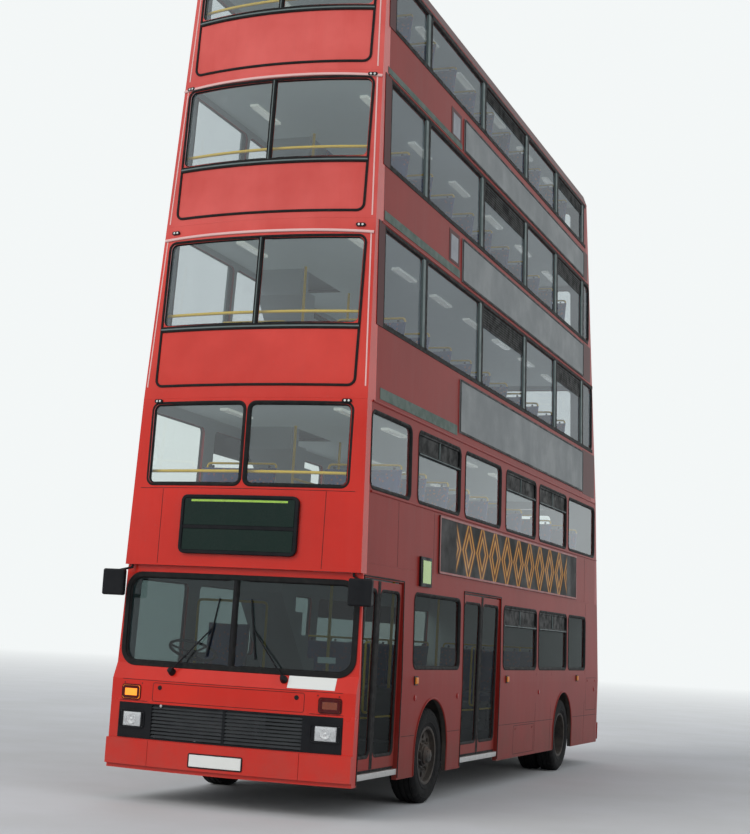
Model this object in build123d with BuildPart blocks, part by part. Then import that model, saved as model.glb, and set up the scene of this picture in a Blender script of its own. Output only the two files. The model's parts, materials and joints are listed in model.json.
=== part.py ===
from build123d import *
import os

# A five-deck bus, in millimetres: +X forwards, +Y to the nearside (the door side), +Z up.
# The origin is on the ground, half way along and half way across.

# Overall sizes
length = 10250
width = 2500
wheelbase = 5640
front_overhang = 2325
wall = 50
seat_gap = 0.3
seam = 0.8

nose_x = length / 2
tail_x = -length / 2
front_axle_x = nose_x - front_overhang
rear_axle_x = front_axle_x - wheelbase
half_width = width / 2

# Heights of the shell
skirt_z = 300
waist_z = 1200
canopy_z = 2215
cantrail_z = 2320
deck_3_seam_z = 3830
deck_4_seam_z = 5590
deck_5_seam_z = 7100
roof_edge_z = 8300

# How far each face leans in, and how far the front bows out in plan
bumper_depth = 35
front_bow = 105
front_bow_top = 180
front_corner_radius = 90
rear_corner_radius = 110
side_lean_low = 70
side_lean_top = 210
front_lean_low = 50
front_lean_top = 290
rear_lean_waist = 0
rear_lean_low = 240
rear_lean_top = 950
face_x = nose_x - bumper_depth - front_bow
back_x = tail_x + bumper_depth

# Outline of the shell by height
# columns: height, half width, x of the front corner, x of the back, bow of the front
shell_levels = [
    (skirt_z, half_width, face_x, back_x, front_bow),
    (waist_z, half_width, face_x, back_x + rear_lean_waist, front_bow),
    (deck_3_seam_z, half_width - side_lean_low, face_x - front_lean_low, back_x + rear_lean_low, front_bow),
    (roof_edge_z, half_width - side_lean_top, face_x - front_lean_top, back_x + rear_lean_top, front_bow_top),
]

# Wheels, arches and steering
tyre_radius = 480
front_tyre_width = 275
rear_tyre_width = 250
tyre_gap = 10
tyre_shoulder = 40
tyre_outer_y = 1225
rim_radius = 286
rim_wall = 24
rim_inset = 18
arch_radius = 520
arch_centre_z = 535
front_hood_radius = 585
rear_hood_radius = 550
hood_wall = 12
front_hood_y = 625
rear_hood_y = 662
kingpin_y = 930
kingpin_radius = 20
steering_arm = 200
axle_z = tyre_radius

# Chassis and lower floor
rail_y = 360
rail_width = 70
rail_height = 140
rail_wall = 10
rail_top_z = 600
rear_rail_top_z = 740
rail_front_x = 4800
rail_step_x = -2150
rail_rear_x = -4980
floor_thickness = 40
floor_z = rail_top_z + seat_gap
platform_z = rear_rail_top_z + seat_gap
bulkhead_x = -4090
well_floor_z = 400
well_thickness = 40

# Doorways on the nearside
# columns: name, rear edge x, front edge x, x where its two leaves meet
doorways = [
    ("entrance", 3800, 4860, 4440),
    ("exit", 350, 1790, 1070),
]
door_top_z = 2185
leaf_bottom_z = 432
leaf_top_z = 2170
leaf_thickness = 34
leaf_outer_y = 1214
leaf_rail = 52
leaf_pivot_inset = 20
leaf_pivot_radius = 11
leaf_side_gap = 12
leaf_meeting_gap = 8
well_depth = 745

# Windows of the two sides
window_corner = 70
glass_depth = 20
glass_thickness = 6
glass_gap = 0.3
# columns: rear edge x, front edge x, lowest z, top z
nearside_lower_windows = [
    (1950, 3450, 1373, 2091),
    (-1325, 200, 1373, 2091),
    (-2955, -1460, 1373, 2091),
    (-4107, -3085, 1373, 2091),
]
offside_lower_windows = [
    (3700, 4700, 1250, 2091),
    (2010, 3450, 1373, 2091),
    (420, 1860, 1373, 2091),
    (-1325, 200, 1373, 2091),
    (-2955, -1460, 1373, 2091),
    (-4107, -3085, 1373, 2091),
]
deck_2_windows = [
    (3680, 4790, 3031, 3736),
    (2046, 3445, 3031, 3736),
    (428, 1848, 3031, 3736),
    (-1206, 190, 3031, 3736),
    (-2870, -1400, 3031, 3736),
    (-4640, -3027, 3031, 3736),
]
# x of the window pillars of the three added decks
pillar_xs = [3334, 1313, -628, -2233, -3829]
pillar_width = 56
window_end_margin = 130

# The upper decks
# columns: deck, wall base z, wall top z, floor z, side sill z, side window top z,
#          front sill z, front window top z, half width of the front window
decks = [
    (2, canopy_z, deck_3_seam_z, 2340, 3031, 3736, 3004, 3773, 1035),
    (3, deck_3_seam_z, deck_4_seam_z, 3850, 4625, 5549, 4560, 5400, 1030),
    (4, deck_4_seam_z, deck_5_seam_z, 5610, 6226, 7055, 6215, 7010, 985),
    (5, deck_5_seam_z, roof_edge_z, 7120, 7660, 8225, 7790, 8200, 935),
]
front_pillar = 60
thin_pillar = 34
front_window_corner = 60
front_panel_depth = 115
rear_panel_depth = 130

# Front of the lower deck
windscreen_sill_z = 1300
windscreen_top_z = 2104
windscreen_half_width = 1165
windscreen_corner = 130
ledge_z = 1130
screen_set_back = 60
grille_half = 1145
grille_low_z = 585
grille_high_z = 912
grille_depth = 44
grille_proud = 4
grille_rim = 14
slats_half = 770
slat_count = 9
slat_height = 22
slat_slope = 10
slat_thickness = 5
divider_half = 14
lamp_y = 990
lamp_z = 760
lamp_width = 280
lamp_height = 160
lamp_gap = seat_gap
lamp_corner = 30
lamp_proud = 6
lamp_depth = 60
bezel = 14
indicator_y = 1018
indicator_z = 1010
indicator_width = 195
indicator_height = 120
indicator_proud = 10
indicator_corner = 20
marker_y = 990
marker_zs = (3806, 5520, 7052)
marker_width = 90
marker_height = 34
marker_corner = 15
marker_proud = 14
bumper_bottom_z = 340
bumper_top_z = 578
bumper_seam_y = 770
bumper_wrap = 45


def shell_at(height):
    """Half width, front corner x, back x and bow of the shell at one height."""
    for low, high in zip(shell_levels, shell_levels[1:]):
        if height <= high[0] or high is shell_levels[-1]:
            share = (height - low[0]) / (high[0] - low[0])
            return [a + share * (b - a) for a, b in zip(low[1:], high[1:])]


def shell_plan(height, inset=0, set_back=0):
    """Outline of the shell seen from above, moved in all round by inset."""
    half, front, back, bow = shell_at(height)
    half -= inset
    front -= inset + set_back
    back += inset
    with BuildSketch(Plane.XY.offset(height)) as plan:
        with BuildLine():
            Polyline((front, -half), (back, -half), (back, half), (front, half))
            ThreePointArc((front, half), (front + bow, 0), (front, -half))
        make_face()
        back_corners = plan.vertices().group_by(Axis.X)[0]
        front_corners = plan.vertices().group_by(Axis.X)[-1]
        fillet(back_corners, rear_corner_radius - inset)
        fillet(front_corners, front_corner_radius - inset)
    return plan.sketch


def shell_block(low, high, inset=0, set_back=0):
    """Solid between two heights of the shell."""
    sections = [shell_plan(low, inset, set_back), shell_plan(high, inset, set_back)]
    with BuildPart() as block:
        loft(sections, ruled=True)
    return block.part


def shell_ring(low, high, inset=0, thickness=wall, set_back=0):
    """Hollow band of the shell between two heights."""
    outer = shell_block(low, high, inset, set_back)
    inner = shell_block(low, high, inset + thickness, set_back)
    with BuildPart() as ring:
        add(outer)
        add(inner, mode=Mode.SUBTRACT)
    return ring.part


def side_prisms(openings, low_y, high_y, margin=0, corner=window_corner):
    """Rounded prisms across the bus, one for each window of a table."""
    with BuildPart() as prisms:
        with BuildSketch(Plane.XZ.offset(-high_y)):
            for back, front, low, high in openings:
                with Locations(((back + front) / 2, (low + high) / 2)):
                    RectangleRounded(front - back - 2 * margin, high - low - 2 * margin, corner - margin)
        extrude(amount=high_y - low_y)
    return prisms.part


def end_prisms(openings, low_x, high_x, margin=0, corner=window_corner):
    """Rounded prisms along the bus, one for each window of a table of y and z edges."""
    with BuildPart() as prisms:
        with BuildSketch(Plane.YZ.offset(low_x)):
            for right, left, low, high in openings:
                with Locations(((right + left) / 2, (low + high) / 2)):
                    RectangleRounded(left - right - 2 * margin, high - low - 2 * margin, corner - margin)
        extrude(amount=high_x - low_x)
    return prisms.part


def divided_prism(half, low, high, corner, pillar, low_x, high_x, margin=0):
    """Prism along the bus for a wide window that a thin upright parts into two panes."""
    with BuildPart() as prism:
        add(end_prisms([(-half, half, low, high)], low_x, high_x, margin, corner))
        with Locations(((low_x + high_x) / 2, 0, (low + high) / 2)):
            Box(high_x - low_x, pillar + 2 * margin, high - low, mode=Mode.SUBTRACT)
    return prism.part


def block(low_x, high_x, low_y, high_y, low_z, high_z):
    """Plain block given by its corners."""
    with BuildPart() as plain:
        with Locations(((low_x + high_x) / 2, (low_y + high_y) / 2, (low_z + high_z) / 2)):
            Box(high_x - low_x, high_y - low_y, high_z - low_z)
    return plain.part


def shaped(start, cuts=(), within=None, extras=()):
    """A piece made from a start solid, solids taken away, and a block that it is trimmed to."""
    with BuildPart() as piece:
        add(start)
        for extra in extras:
            add(extra)
        for cut in cuts:
            add(cut, mode=Mode.SUBTRACT)
        if within is not None:
            add(within, mode=Mode.INTERSECT)
    return piece.part


def save(part, name):
    """Label a finished piece and write its file."""
    part.label = name
    export_step(part, "parts/" + name + ".step")


os.makedirs("parts", exist_ok=True)
reach = length
half_seam = seam / 2

# Wheels

def tyre_solid(axle_x, centre_y, tread_width):
    """One tyre, turned about its axle, with rounded shoulders."""
    with BuildPart() as tyre:
        with BuildSketch(Plane.YZ.offset(axle_x)) as section:
            with Locations((centre_y, axle_z + (tyre_radius + rim_radius) / 2)):
                Rectangle(tread_width, tyre_radius - rim_radius - seat_gap)
            shoulders = section.vertices().group_by(Axis.Z)[-1]
            chamfer(shoulders, tyre_shoulder, tyre_shoulder / 2)
        revolve(axis=Axis((axle_x, 0, axle_z), (0, 1, 0)))
    return tyre.part


def turned(axle_x, bands):
    """Solid turned about an axle from bands of y and radius."""
    with BuildPart() as solid:
        with BuildSketch(Plane.YZ.offset(axle_x)):
            for low_y, high_y, low_r, high_r in bands:
                with Locations(((low_y + high_y) / 2, axle_z + (low_r + high_r) / 2)):
                    Rectangle(high_y - low_y, high_r - low_r)
        revolve(axis=Axis((axle_x, 0, axle_z), (0, 1, 0)))
    return solid.part


hub_radius = 112
stub_radius = 36
hub_bore = stub_radius + 0.5
disc_thickness = 16
hand_hole_radius = 32
hand_hole_circle = 195
front_tyre_y = tyre_outer_y - front_tyre_width / 2
outer_rear_y = tyre_outer_y - rear_tyre_width / 2
inner_rear_y = outer_rear_y - rear_tyre_width - tyre_gap
barrel_radius = rim_radius - rim_wall
front_disc_y = front_tyre_y + 55
rear_disc_y = (outer_rear_y + inner_rear_y) / 2


def hand_holes(axle_x, low_y, high_y):
    """Ring of holes through a wheel disc."""
    with BuildPart() as holes:
        with BuildSketch(Plane.XZ.offset(-high_y)):
            with Locations((axle_x, axle_z)):
                with PolarLocations(hand_hole_circle, 8):
                    Circle(hand_hole_radius)
        extrude(amount=high_y - low_y)
    return holes.part


front_rim_bands = [
    (front_tyre_y - front_tyre_width / 2 + rim_inset, front_tyre_y + front_tyre_width / 2 - rim_inset,
     barrel_radius, rim_radius),
    (front_disc_y, front_disc_y + disc_thickness, hub_radius - 2, barrel_radius + 2),
    (front_disc_y - 60, front_disc_y + 45, hub_bore, hub_radius),
    (front_disc_y + 45, front_disc_y + 60, 0, hub_radius - 20),
]
rear_rim_bands = [
    (inner_rear_y - rear_tyre_width / 2 + rim_inset, outer_rear_y + rear_tyre_width / 2 - rim_inset,
     barrel_radius, rim_radius),
    (rear_disc_y - disc_thickness, rear_disc_y + disc_thickness, hub_radius - 2, barrel_radius + 2),
    (rear_disc_y - 60, rear_disc_y + 80, hub_bore, hub_radius),
    (rear_disc_y + 80, rear_disc_y + 95, 0, hub_radius - 20),
]
front_rim = shaped(turned(front_axle_x, front_rim_bands),
                   [hand_holes(front_axle_x, front_disc_y - 5, front_disc_y + disc_thickness + 5)])
rear_rim = shaped(turned(rear_axle_x, rear_rim_bands),
                  [hand_holes(rear_axle_x, rear_disc_y - 30, rear_disc_y + 30)])
front_tyre = tyre_solid(front_axle_x, front_tyre_y, front_tyre_width)
rear_tyres = shaped(tyre_solid(rear_axle_x, outer_rear_y, rear_tyre_width),
                    extras=[tyre_solid(rear_axle_x, inner_rear_y, rear_tyre_width)])
for piece, name in [(front_rim, "front_rim"), (front_tyre, "front_tyre"),
                    (rear_rim, "rear_rims"), (rear_tyres, "rear_tyres")]:
    save(piece, name + "_left")
    save(mirror(piece, about=Plane.XZ), name + "_right")

# Steering knuckles, each with its fork, kingpin, stub axle and arm
fork_half_height = 112
fork_arm = 30
boss_radius = 46
boss_half_height = fork_half_height - fork_arm - 1
fork_web_y = kingpin_y + boss_radius + 8
pin_rod_radius = 14
arm_z = axle_z - fork_half_height
with BuildPart() as knuckle:
    for low in (axle_z - fork_half_height, axle_z + fork_half_height - fork_arm):
        with BuildSketch(Plane.XY.offset(low)):
            with Locations((front_axle_x, kingpin_y)):
                Circle(boss_radius - 6)
            with Locations((front_axle_x, (kingpin_y + fork_web_y) / 2)):
                Rectangle(2 * boss_radius - 12, fork_web_y - kingpin_y)
        extrude(amount=fork_arm)
    add(block(front_axle_x - boss_radius + 6, front_axle_x + boss_radius - 6, fork_web_y, fork_web_y + 22,
              axle_z - fork_half_height, axle_z + fork_half_height))
    with BuildSketch(Plane.XY.offset(axle_z - fork_half_height)):
        with Locations((front_axle_x, kingpin_y)):
            Circle(kingpin_radius)
    extrude(amount=2 * fork_half_height)
    with BuildSketch(Plane.XZ.offset(-fork_web_y - 20)):
        with Locations((front_axle_x, axle_z)):
            Circle(stub_radius)
    extrude(amount=-(front_disc_y + 35 - fork_web_y - 20))
    with BuildSketch(Plane.XY.offset(arm_z)):
        with BuildLine():
            Polyline((front_axle_x, kingpin_y - 22), (front_axle_x, kingpin_y + 22),
                     (front_axle_x - steering_arm - 24, kingpin_y + 16),
                     (front_axle_x - steering_arm - 24, kingpin_y - 16), close=True)
        make_face()
    extrude(amount=24)
    with BuildSketch(Plane.XY.offset(arm_z - 40)):
        with Locations((front_axle_x - steering_arm, kingpin_y)):
            Circle(10)
    extrude(amount=50)
save(knuckle.part, "steering_knuckle_left")
save(mirror(knuckle.part, about=Plane.XZ), "steering_knuckle_right")

# Track rod between the two steering arms
rod_z = arm_z - 24
with BuildPart() as track_rod:
    with BuildSketch(Plane.XZ.offset(-(kingpin_y - 22))):
        with Locations((front_axle_x - steering_arm, rod_z)):
            Circle(pin_rod_radius)
    extrude(amount=2 * (kingpin_y - 22))
    with BuildSketch(Plane.XY.offset(rod_z - 16)):
        with Locations((front_axle_x - steering_arm, kingpin_y), (front_axle_x - steering_arm, -kingpin_y)):
            Circle(26)
            Circle(10.4, mode=Mode.SUBTRACT)
    extrude(amount=32)
save(track_rod.part, "track_rod")

# Front axle beam with its bosses and air springs
beam_depth = 90
beam_half = 45
drop_y = 560
drop_z = 350
spring_y = 500
spring_radius = 85
with BuildPart() as front_axle:
    with BuildSketch(Plane.YZ.offset(front_axle_x - beam_half)):
        with BuildLine():
            Polyline((-kingpin_y, axle_z - 50), (-drop_y - 160, axle_z - 50), (-drop_y, drop_z), (drop_y, drop_z),
                     (drop_y + 160, axle_z - 50), (kingpin_y, axle_z - 50), (kingpin_y, axle_z + 50),
                     (drop_y + 140, axle_z + 50), (drop_y - 30, drop_z + beam_depth),
                     (-drop_y + 30, drop_z + beam_depth), (-drop_y - 140, axle_z + 50),
                     (-kingpin_y, axle_z + 50), close=True)
        make_face()
    extrude(amount=2 * beam_half)
    with BuildSketch(Plane.XY.offset(axle_z - boss_half_height)):
        with Locations((front_axle_x, kingpin_y), (front_axle_x, -kingpin_y)):
            Circle(boss_radius)
    extrude(amount=2 * boss_half_height)
    with BuildSketch(Plane.XY.offset(axle_z - boss_half_height)):
        with Locations((front_axle_x, kingpin_y), (front_axle_x, -kingpin_y)):
            Circle(kingpin_radius + 0.5)
    extrude(amount=2 * boss_half_height, mode=Mode.SUBTRACT)
    with BuildSketch(Plane.XY.offset(drop_z + beam_depth / 2)):
        with Locations((front_axle_x, spring_y), (front_axle_x, -spring_y)):
            Circle(spring_radius)
    extrude(amount=rail_top_z - drop_z - beam_depth / 2)
save(front_axle.part, "front_axle")

# Drive axle with its differential, hub stubs and air springs
axle_tube_radius = 72
axle_tube_end_y = inner_rear_y - rear_tyre_width / 2 - 10
diff_radius = 185
rear_spring_y = 520
rear_spring_x = 330
with BuildPart() as rear_axle:
    add(turned(rear_axle_x, [(-axle_tube_end_y, axle_tube_end_y, 0, axle_tube_radius)]))
    add(turned(rear_axle_x, [(-rear_disc_y - 60, rear_disc_y + 60, 0, stub_radius)]))
    with Locations((rear_axle_x, 0, axle_z)):
        Sphere(diff_radius)
    for side in (-1, 1):
        add(block(rear_axle_x - rear_spring_x - 90, rear_axle_x + rear_spring_x + 90,
                  side * rear_spring_y - 40, side * rear_spring_y + 40, axle_z - 110, axle_z - 60))
    with BuildSketch(Plane.XY.offset(axle_z - 80)):
        with Locations((rear_axle_x, 0)):
            with GridLocations(2 * rear_spring_x, 2 * rear_spring_y, 2, 2):
                Circle(spring_radius)
    extrude(amount=rear_rail_top_z - axle_z + 80)
save(rear_axle.part, "rear_axle")

# Chassis frame: two channel rails with a step up over the drive axle, cross members and outriggers
with BuildPart() as chassis:
    for low_x, high_x, top in [(rail_step_x - 120, rail_front_x, rail_top_z),
                               (rail_rear_x, rail_step_x, rear_rail_top_z)]:
        with BuildSketch(Plane.YZ.offset(low_x)):
            for side in (-1, 1):
                with Locations((side * rail_y, top - rail_height / 2)):
                    Rectangle(rail_width, rail_height)
                with Locations((side * (rail_y - rail_wall), top - rail_height / 2)):
                    Rectangle(rail_width, rail_height - 2 * rail_wall, mode=Mode.SUBTRACT)
        extrude(amount=high_x - low_x)
    for x in (4600, 3500, 2150, 900, -600, -2000):
        with Locations((x, 0, rail_top_z - 50)):
            Box(60, 2 * rail_y, 80)
    for x in (-2400, -3700, -4700):
        with Locations((x, 0, rear_rail_top_z - 50)):
            Box(60, 2 * rail_y, 80)
    for x in (3580, 2080, 150, -900, -1900):
        for side in (-1, 1):
            with Locations((x, side * (rail_y + 415), rail_top_z - 25)):
                Box(50, 830, 50)
    for x in (-3620, -4600):
        for side in (-1, 1):
            with Locations((x, side * (rail_y + 400), rear_rail_top_z - 25)):
                Box(50, 800, 50)
save(chassis.part, "chassis_frame")

# Towing eyes, hung under the ends of the rails
eye_radius = 22
eye_thickness = 30
eye_drop = 90
eye_outer = 50
eye_y = 285
with BuildPart() as towing_eyes:
    for eye_x, rail_bottom in [(rail_front_x - 80, rail_top_z - rail_height),
                               (rail_rear_x + 80, rear_rail_top_z - rail_height)]:
        eye_z = rail_bottom - seat_gap - eye_drop
        for side in (-1, 1):
            add(block(eye_x - eye_outer, eye_x + eye_outer, side * rail_y - eye_thickness / 2,
                      side * rail_y + eye_thickness / 2, eye_z, rail_bottom - seat_gap))
            with BuildSketch(Plane.XY.offset(eye_z)):
                with Locations((eye_x, side * (eye_y + rail_y) / 2)):
                    Rectangle(2 * eye_outer, rail_y - eye_y)
                with Locations((eye_x, side * eye_y)):
                    Circle(eye_outer)
                    Circle(eye_radius, mode=Mode.SUBTRACT)
            extrude(amount=eye_thickness)
save(towing_eyes.part, "towing_eyes")

# Engine, a plain block on the rear ends of the rails
save(block(-4930, -4200, -540, 540, rear_rail_top_z + seat_gap, 1240), "engine_block")

# Lower floor with its two door wells, the raised rear platform and the wheel cut-outs
floor_inset = wall + seat_gap
platform_top_z = platform_z + floor_thickness
riser_x = rail_step_x + seat_gap
front_floor = shaped(shell_block(floor_z, floor_z + floor_thickness, floor_inset),
                     within=block(riser_x, reach, -reach, reach, 0, reach))
platform = shaped(shell_block(platform_z, platform_top_z, floor_inset),
                  within=block(bulkhead_x, riser_x + floor_thickness, -reach, reach, 0, reach))
riser = shaped(shell_block(floor_z, platform_top_z, floor_inset),
               within=block(riser_x, riser_x + floor_thickness, -reach, reach, 0, reach))
well_y = leaf_outer_y - well_depth
floor_cuts = []
well_parts = []
for door, back, front, meeting in doorways:
    floor_cuts.append(block(back - 20, front + 20, well_y, reach, floor_z - 1, floor_z + floor_thickness + 1))
    well_parts.append(block(back - 30, front + 30, well_y - 10, half_width - wall - 5,
                            well_floor_z - well_thickness, well_floor_z))
    well_parts.append(block(back + seat_gap, front - seat_gap, well_y, half_width - 8,
                            well_floor_z - well_thickness, well_floor_z))
    well_parts.append(block(back - 30, front + 30, well_y - 10, well_y,
                            well_floor_z - well_thickness, floor_z + floor_thickness))
    for low, high in ((back - 30, back - 20), (front + 20, front + 30)):
        well_parts.append(block(low, high, well_y - 10, half_width - wall - 5,
                                well_floor_z - well_thickness, floor_z + floor_thickness))
for side in (-1, 1):
    for axle_x, radius, inner_y in ((front_axle_x, front_hood_radius, front_hood_y),
                                    (rear_axle_x, rear_hood_radius, rear_hood_y)):
        edge = radius + hood_wall + seat_gap
        inner = inner_y - hood_wall - seat_gap
        floor_cuts.append(block(axle_x - edge, axle_x + edge, min(side * inner, side * reach),
                                max(side * inner, side * reach), floor_z - 1, platform_top_z + 1))
lower_floor = shaped(front_floor, floor_cuts, extras=[platform, riser])
lower_floor = shaped(lower_floor, extras=well_parts)
save(lower_floor, "lower_floor")

# Wheel boxes over the four wheels
def wheel_box(axle_x, radius, inner_y):
    """Arched hood over one wheel, closed on its inner side."""
    outer_y = half_width - wall - seat_gap
    with BuildPart() as hood:
        with BuildSketch(Plane.XZ.offset(-outer_y)):
            with Locations((axle_x, arch_centre_z)):
                Circle(radius + hood_wall)
        extrude(amount=outer_y - inner_y + hood_wall)
        with BuildSketch(Plane.XZ.offset(-outer_y)):
            with Locations((axle_x, arch_centre_z)):
                Circle(radius)
        extrude(amount=outer_y - inner_y, mode=Mode.SUBTRACT)
        add(block(axle_x - reach, axle_x + reach, 0, reach, -reach, floor_z), mode=Mode.SUBTRACT)
    return hood.part


front_box = wheel_box(front_axle_x, front_hood_radius, front_hood_y)
rear_box = wheel_box(rear_axle_x, rear_hood_radius, rear_hood_y)
nearside_boxes = shaped(front_box, extras=[rear_box])
save(shaped(nearside_boxes, extras=[mirror(nearside_boxes, about=Plane.XZ)]), "wheel_boxes")

# Bulkhead in front of the engine bay
bulkhead = shaped(shell_block(platform_z, decks[0][3] - seat_gap, floor_inset),
                  within=block(bulkhead_x - 40, bulkhead_x - seat_gap, -reach, reach, 0, reach))
save(bulkhead, "engine_bulkhead")

# Floors of the upper decks, each with its stairwell
stair_foot_x = 1600
stair_head_x = 3000
stair_low_y = -960
stair_high_y = -440
foot_room = 270
deck_floors = []
for deck, base, top, floor, sill, head, front_sill, front_head, front_half in decks:
    well = block(stair_foot_x + foot_room, stair_head_x + seat_gap, stair_low_y - 10, stair_high_y + 10,
                 floor - 1, floor + floor_thickness + 1)
    deck_floors.append(shaped(shell_block(floor, floor + floor_thickness, floor_inset), [well]))
save(shaped(deck_floors[0], extras=deck_floors[1:]), "deck_floors")

# Stairs between the decks, stacked over each other on the offside
step_count = 7
levels = [floor_z + floor_thickness] + [deck[3] + floor_thickness for deck in decks]
with BuildPart() as stairs:
    for low, high in zip(levels, levels[1:]):
        rise = (high - low) / step_count
        run = (stair_head_x - stair_foot_x) / step_count
        points = [(stair_foot_x, low + seat_gap)]
        for step in range(step_count):
            points.append((stair_foot_x + step * run, low + (step + 1) * rise - 8))
            points.append((stair_foot_x + (step + 1) * run, low + (step + 1) * rise - 8))
        points.append((stair_head_x, high - 1.3 * rise))
        points.append((stair_foot_x + 0.7 * run, low + seat_gap))
        with BuildSketch(Plane.XZ.offset(-stair_high_y)):
            with BuildLine():
                Polyline(*points, close=True)
            make_face()
        extrude(amount=stair_high_y - stair_low_y)
save(stairs.part, "stairs")

# Lower walls
arch_cuts = []
for axle_x in (front_axle_x, rear_axle_x):
    with BuildPart() as arch:
        with BuildSketch(Plane.XZ.offset(-reach)):
            with Locations((axle_x, arch_centre_z)):
                Circle(arch_radius)
            with Locations((axle_x, arch_centre_z / 2)):
                Rectangle(2 * arch_radius, arch_centre_z)
        extrude(amount=2 * reach)
    arch_cuts.append(arch.part)
lower_front_x = 4885
lower_back_x = -4940
lower_ring = shaped(shell_ring(skirt_z, waist_z), extras=[shell_ring(waist_z, cantrail_z - half_seam)])
front_return_x = shell_at(deck_3_seam_z)[1] - front_panel_depth
canopy_cut = block(front_return_x, reach, -reach, reach, canopy_z - half_seam, reach)
door_cuts = [block(back, front, 0, reach, 0, door_top_z) for door, back, front, meeting in doorways]
nearside_cuts = arch_cuts + door_cuts + [canopy_cut, side_prisms(nearside_lower_windows, 0, reach)]
lower_nearside = shaped(lower_ring, nearside_cuts,
                        block(lower_back_x, lower_front_x, 0, reach, 0, reach))
lower_offside = shaped(lower_ring, arch_cuts + [canopy_cut, side_prisms(offside_lower_windows, -reach, 0)],
                       block(lower_back_x, lower_front_x, -reach, 0, 0, reach))
save(lower_nearside, "lower_nearside")
save(lower_offside, "lower_offside")

# Front of the lower deck, set back above the ledge for the windscreen
screen_sizes = (windscreen_half_width, windscreen_sill_z, windscreen_top_z, windscreen_corner, thin_pillar)
apron = shell_ring(skirt_z, ledge_z)
with BuildPart() as ledge:
    loft([shell_plan(ledge_z), shell_plan(windscreen_sill_z - 20, 0, screen_set_back)], ruled=True)
    add(shell_block(ledge_z, windscreen_sill_z - 20, wall, screen_set_back), mode=Mode.SUBTRACT)
surround = shell_ring(windscreen_sill_z - 20, canopy_z, 0, wall, screen_set_back)
front_zone = block(lower_front_x + seam, reach, -reach, reach, 0, canopy_z - half_seam)
grille_opening = block(0, reach, -grille_half - seat_gap, grille_half + seat_gap,
                       grille_low_z - seat_gap, grille_high_z + seat_gap)
lower_front = shaped(apron, [divided_prism(*screen_sizes, 0, reach), grille_opening],
                     front_zone, [ledge.part, surround])
save(lower_front, "lower_front")
windscreen = shaped(shell_ring(windscreen_sill_z - 20, canopy_z, glass_depth, glass_thickness, screen_set_back),
                    within=divided_prism(*screen_sizes, 3000, reach, glass_gap))
save(windscreen, "windscreen")

# Front grille: a black panel let into the bowed front, with louvred slats and openings for the headlamps
slat_zone = (-slats_half, slats_half, grille_low_z + grille_rim, grille_high_z - grille_rim)
lamp_holes = [(side * lamp_y - lamp_width / 2 - lamp_gap, side * lamp_y + lamp_width / 2 + lamp_gap,
               lamp_z - lamp_height / 2 - lamp_gap, lamp_z + lamp_height / 2 + lamp_gap) for side in (-1, 1)]
grille_panel = shaped(shell_ring(grille_low_z, grille_high_z, -grille_proud, grille_depth),
                      [end_prisms([slat_zone], 0, reach, 0, 10), end_prisms(lamp_holes, 0, reach, 0, lamp_corner)],
                      block(0, reach, -grille_half, grille_half, 0, reach))
slat_pitch = (slat_zone[3] - slat_zone[2]) / slat_count
slats = []
for slat in range(slat_count):
    slat_low_z = slat_zone[2] + (slat + 0.5) * slat_pitch - slat_height / 2
    slat_high_z = slat_low_z + slat_height
    with BuildPart() as louvre:
        loft([shell_plan(slat_low_z), shell_plan(slat_high_z, 0, slat_slope)], ruled=True)
        loft([shell_plan(slat_low_z, slat_thickness), shell_plan(slat_high_z, slat_thickness, slat_slope)],
             ruled=True, mode=Mode.SUBTRACT)
    slats.append(shaped(louvre.part, (), block(0, reach, -slats_half - 1, slats_half + 1, 0, reach)))
divider = shaped(shell_ring(slat_zone[2] - 1, slat_zone[3] + 1, 0, grille_depth - grille_proud), (),
                 block(0, reach, -divider_half, divider_half, 0, reach))
save(shaped(grille_panel, extras=slats + [divider]), "front_grille")

# Lamps of the front: headlamps in the grille panel, indicators over it and small markers on the added decks
lamp_openings = [(low + lamp_gap, high - lamp_gap, low_z + lamp_gap, high_z - lamp_gap)
                 for low, high, low_z, high_z in lamp_holes]
lamp_recesses = [(low + bezel, high - bezel, low_z + bezel, high_z - bezel)
                 for low, high, low_z, high_z in lamp_openings]
headlamps = shaped(shell_ring(lamp_z - lamp_height, lamp_z + lamp_height, -lamp_proud, lamp_depth),
                   [shaped(shell_ring(lamp_z - lamp_height, lamp_z + lamp_height, -lamp_proud, lamp_proud),
                           within=end_prisms(lamp_recesses, 0, reach, 0, lamp_corner - bezel))],
                   end_prisms(lamp_openings, 0, reach, 0, lamp_corner - lamp_gap))
indicator_zones = [(y - indicator_width / 2, y + indicator_width / 2,
                    indicator_z - indicator_height / 2, indicator_z + indicator_height / 2)
                   for y in (-indicator_y, indicator_y)]
indicators = shaped(shell_ring(indicator_z - indicator_height / 2, indicator_z + indicator_height / 2,
                               -indicator_proud, indicator_proud - seat_gap),
                    within=end_prisms(indicator_zones, 0, reach, 0, indicator_corner))
markers = []
for marker_z in marker_zs:
    marker_low = marker_z - marker_height / 2
    marker_high = marker_z + marker_height / 2
    marker_zones = [(y - marker_width / 2, y + marker_width / 2, marker_low, marker_high)
                    for y in (-marker_y, marker_y)]
    markers.append(shaped(shell_ring(marker_low, marker_high, -marker_proud, marker_proud - seat_gap),
                          within=end_prisms(marker_zones, 0, reach, 0, marker_corner)))
save(shaped(headlamps, extras=[indicators] + markers), "front_lamps")

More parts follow.
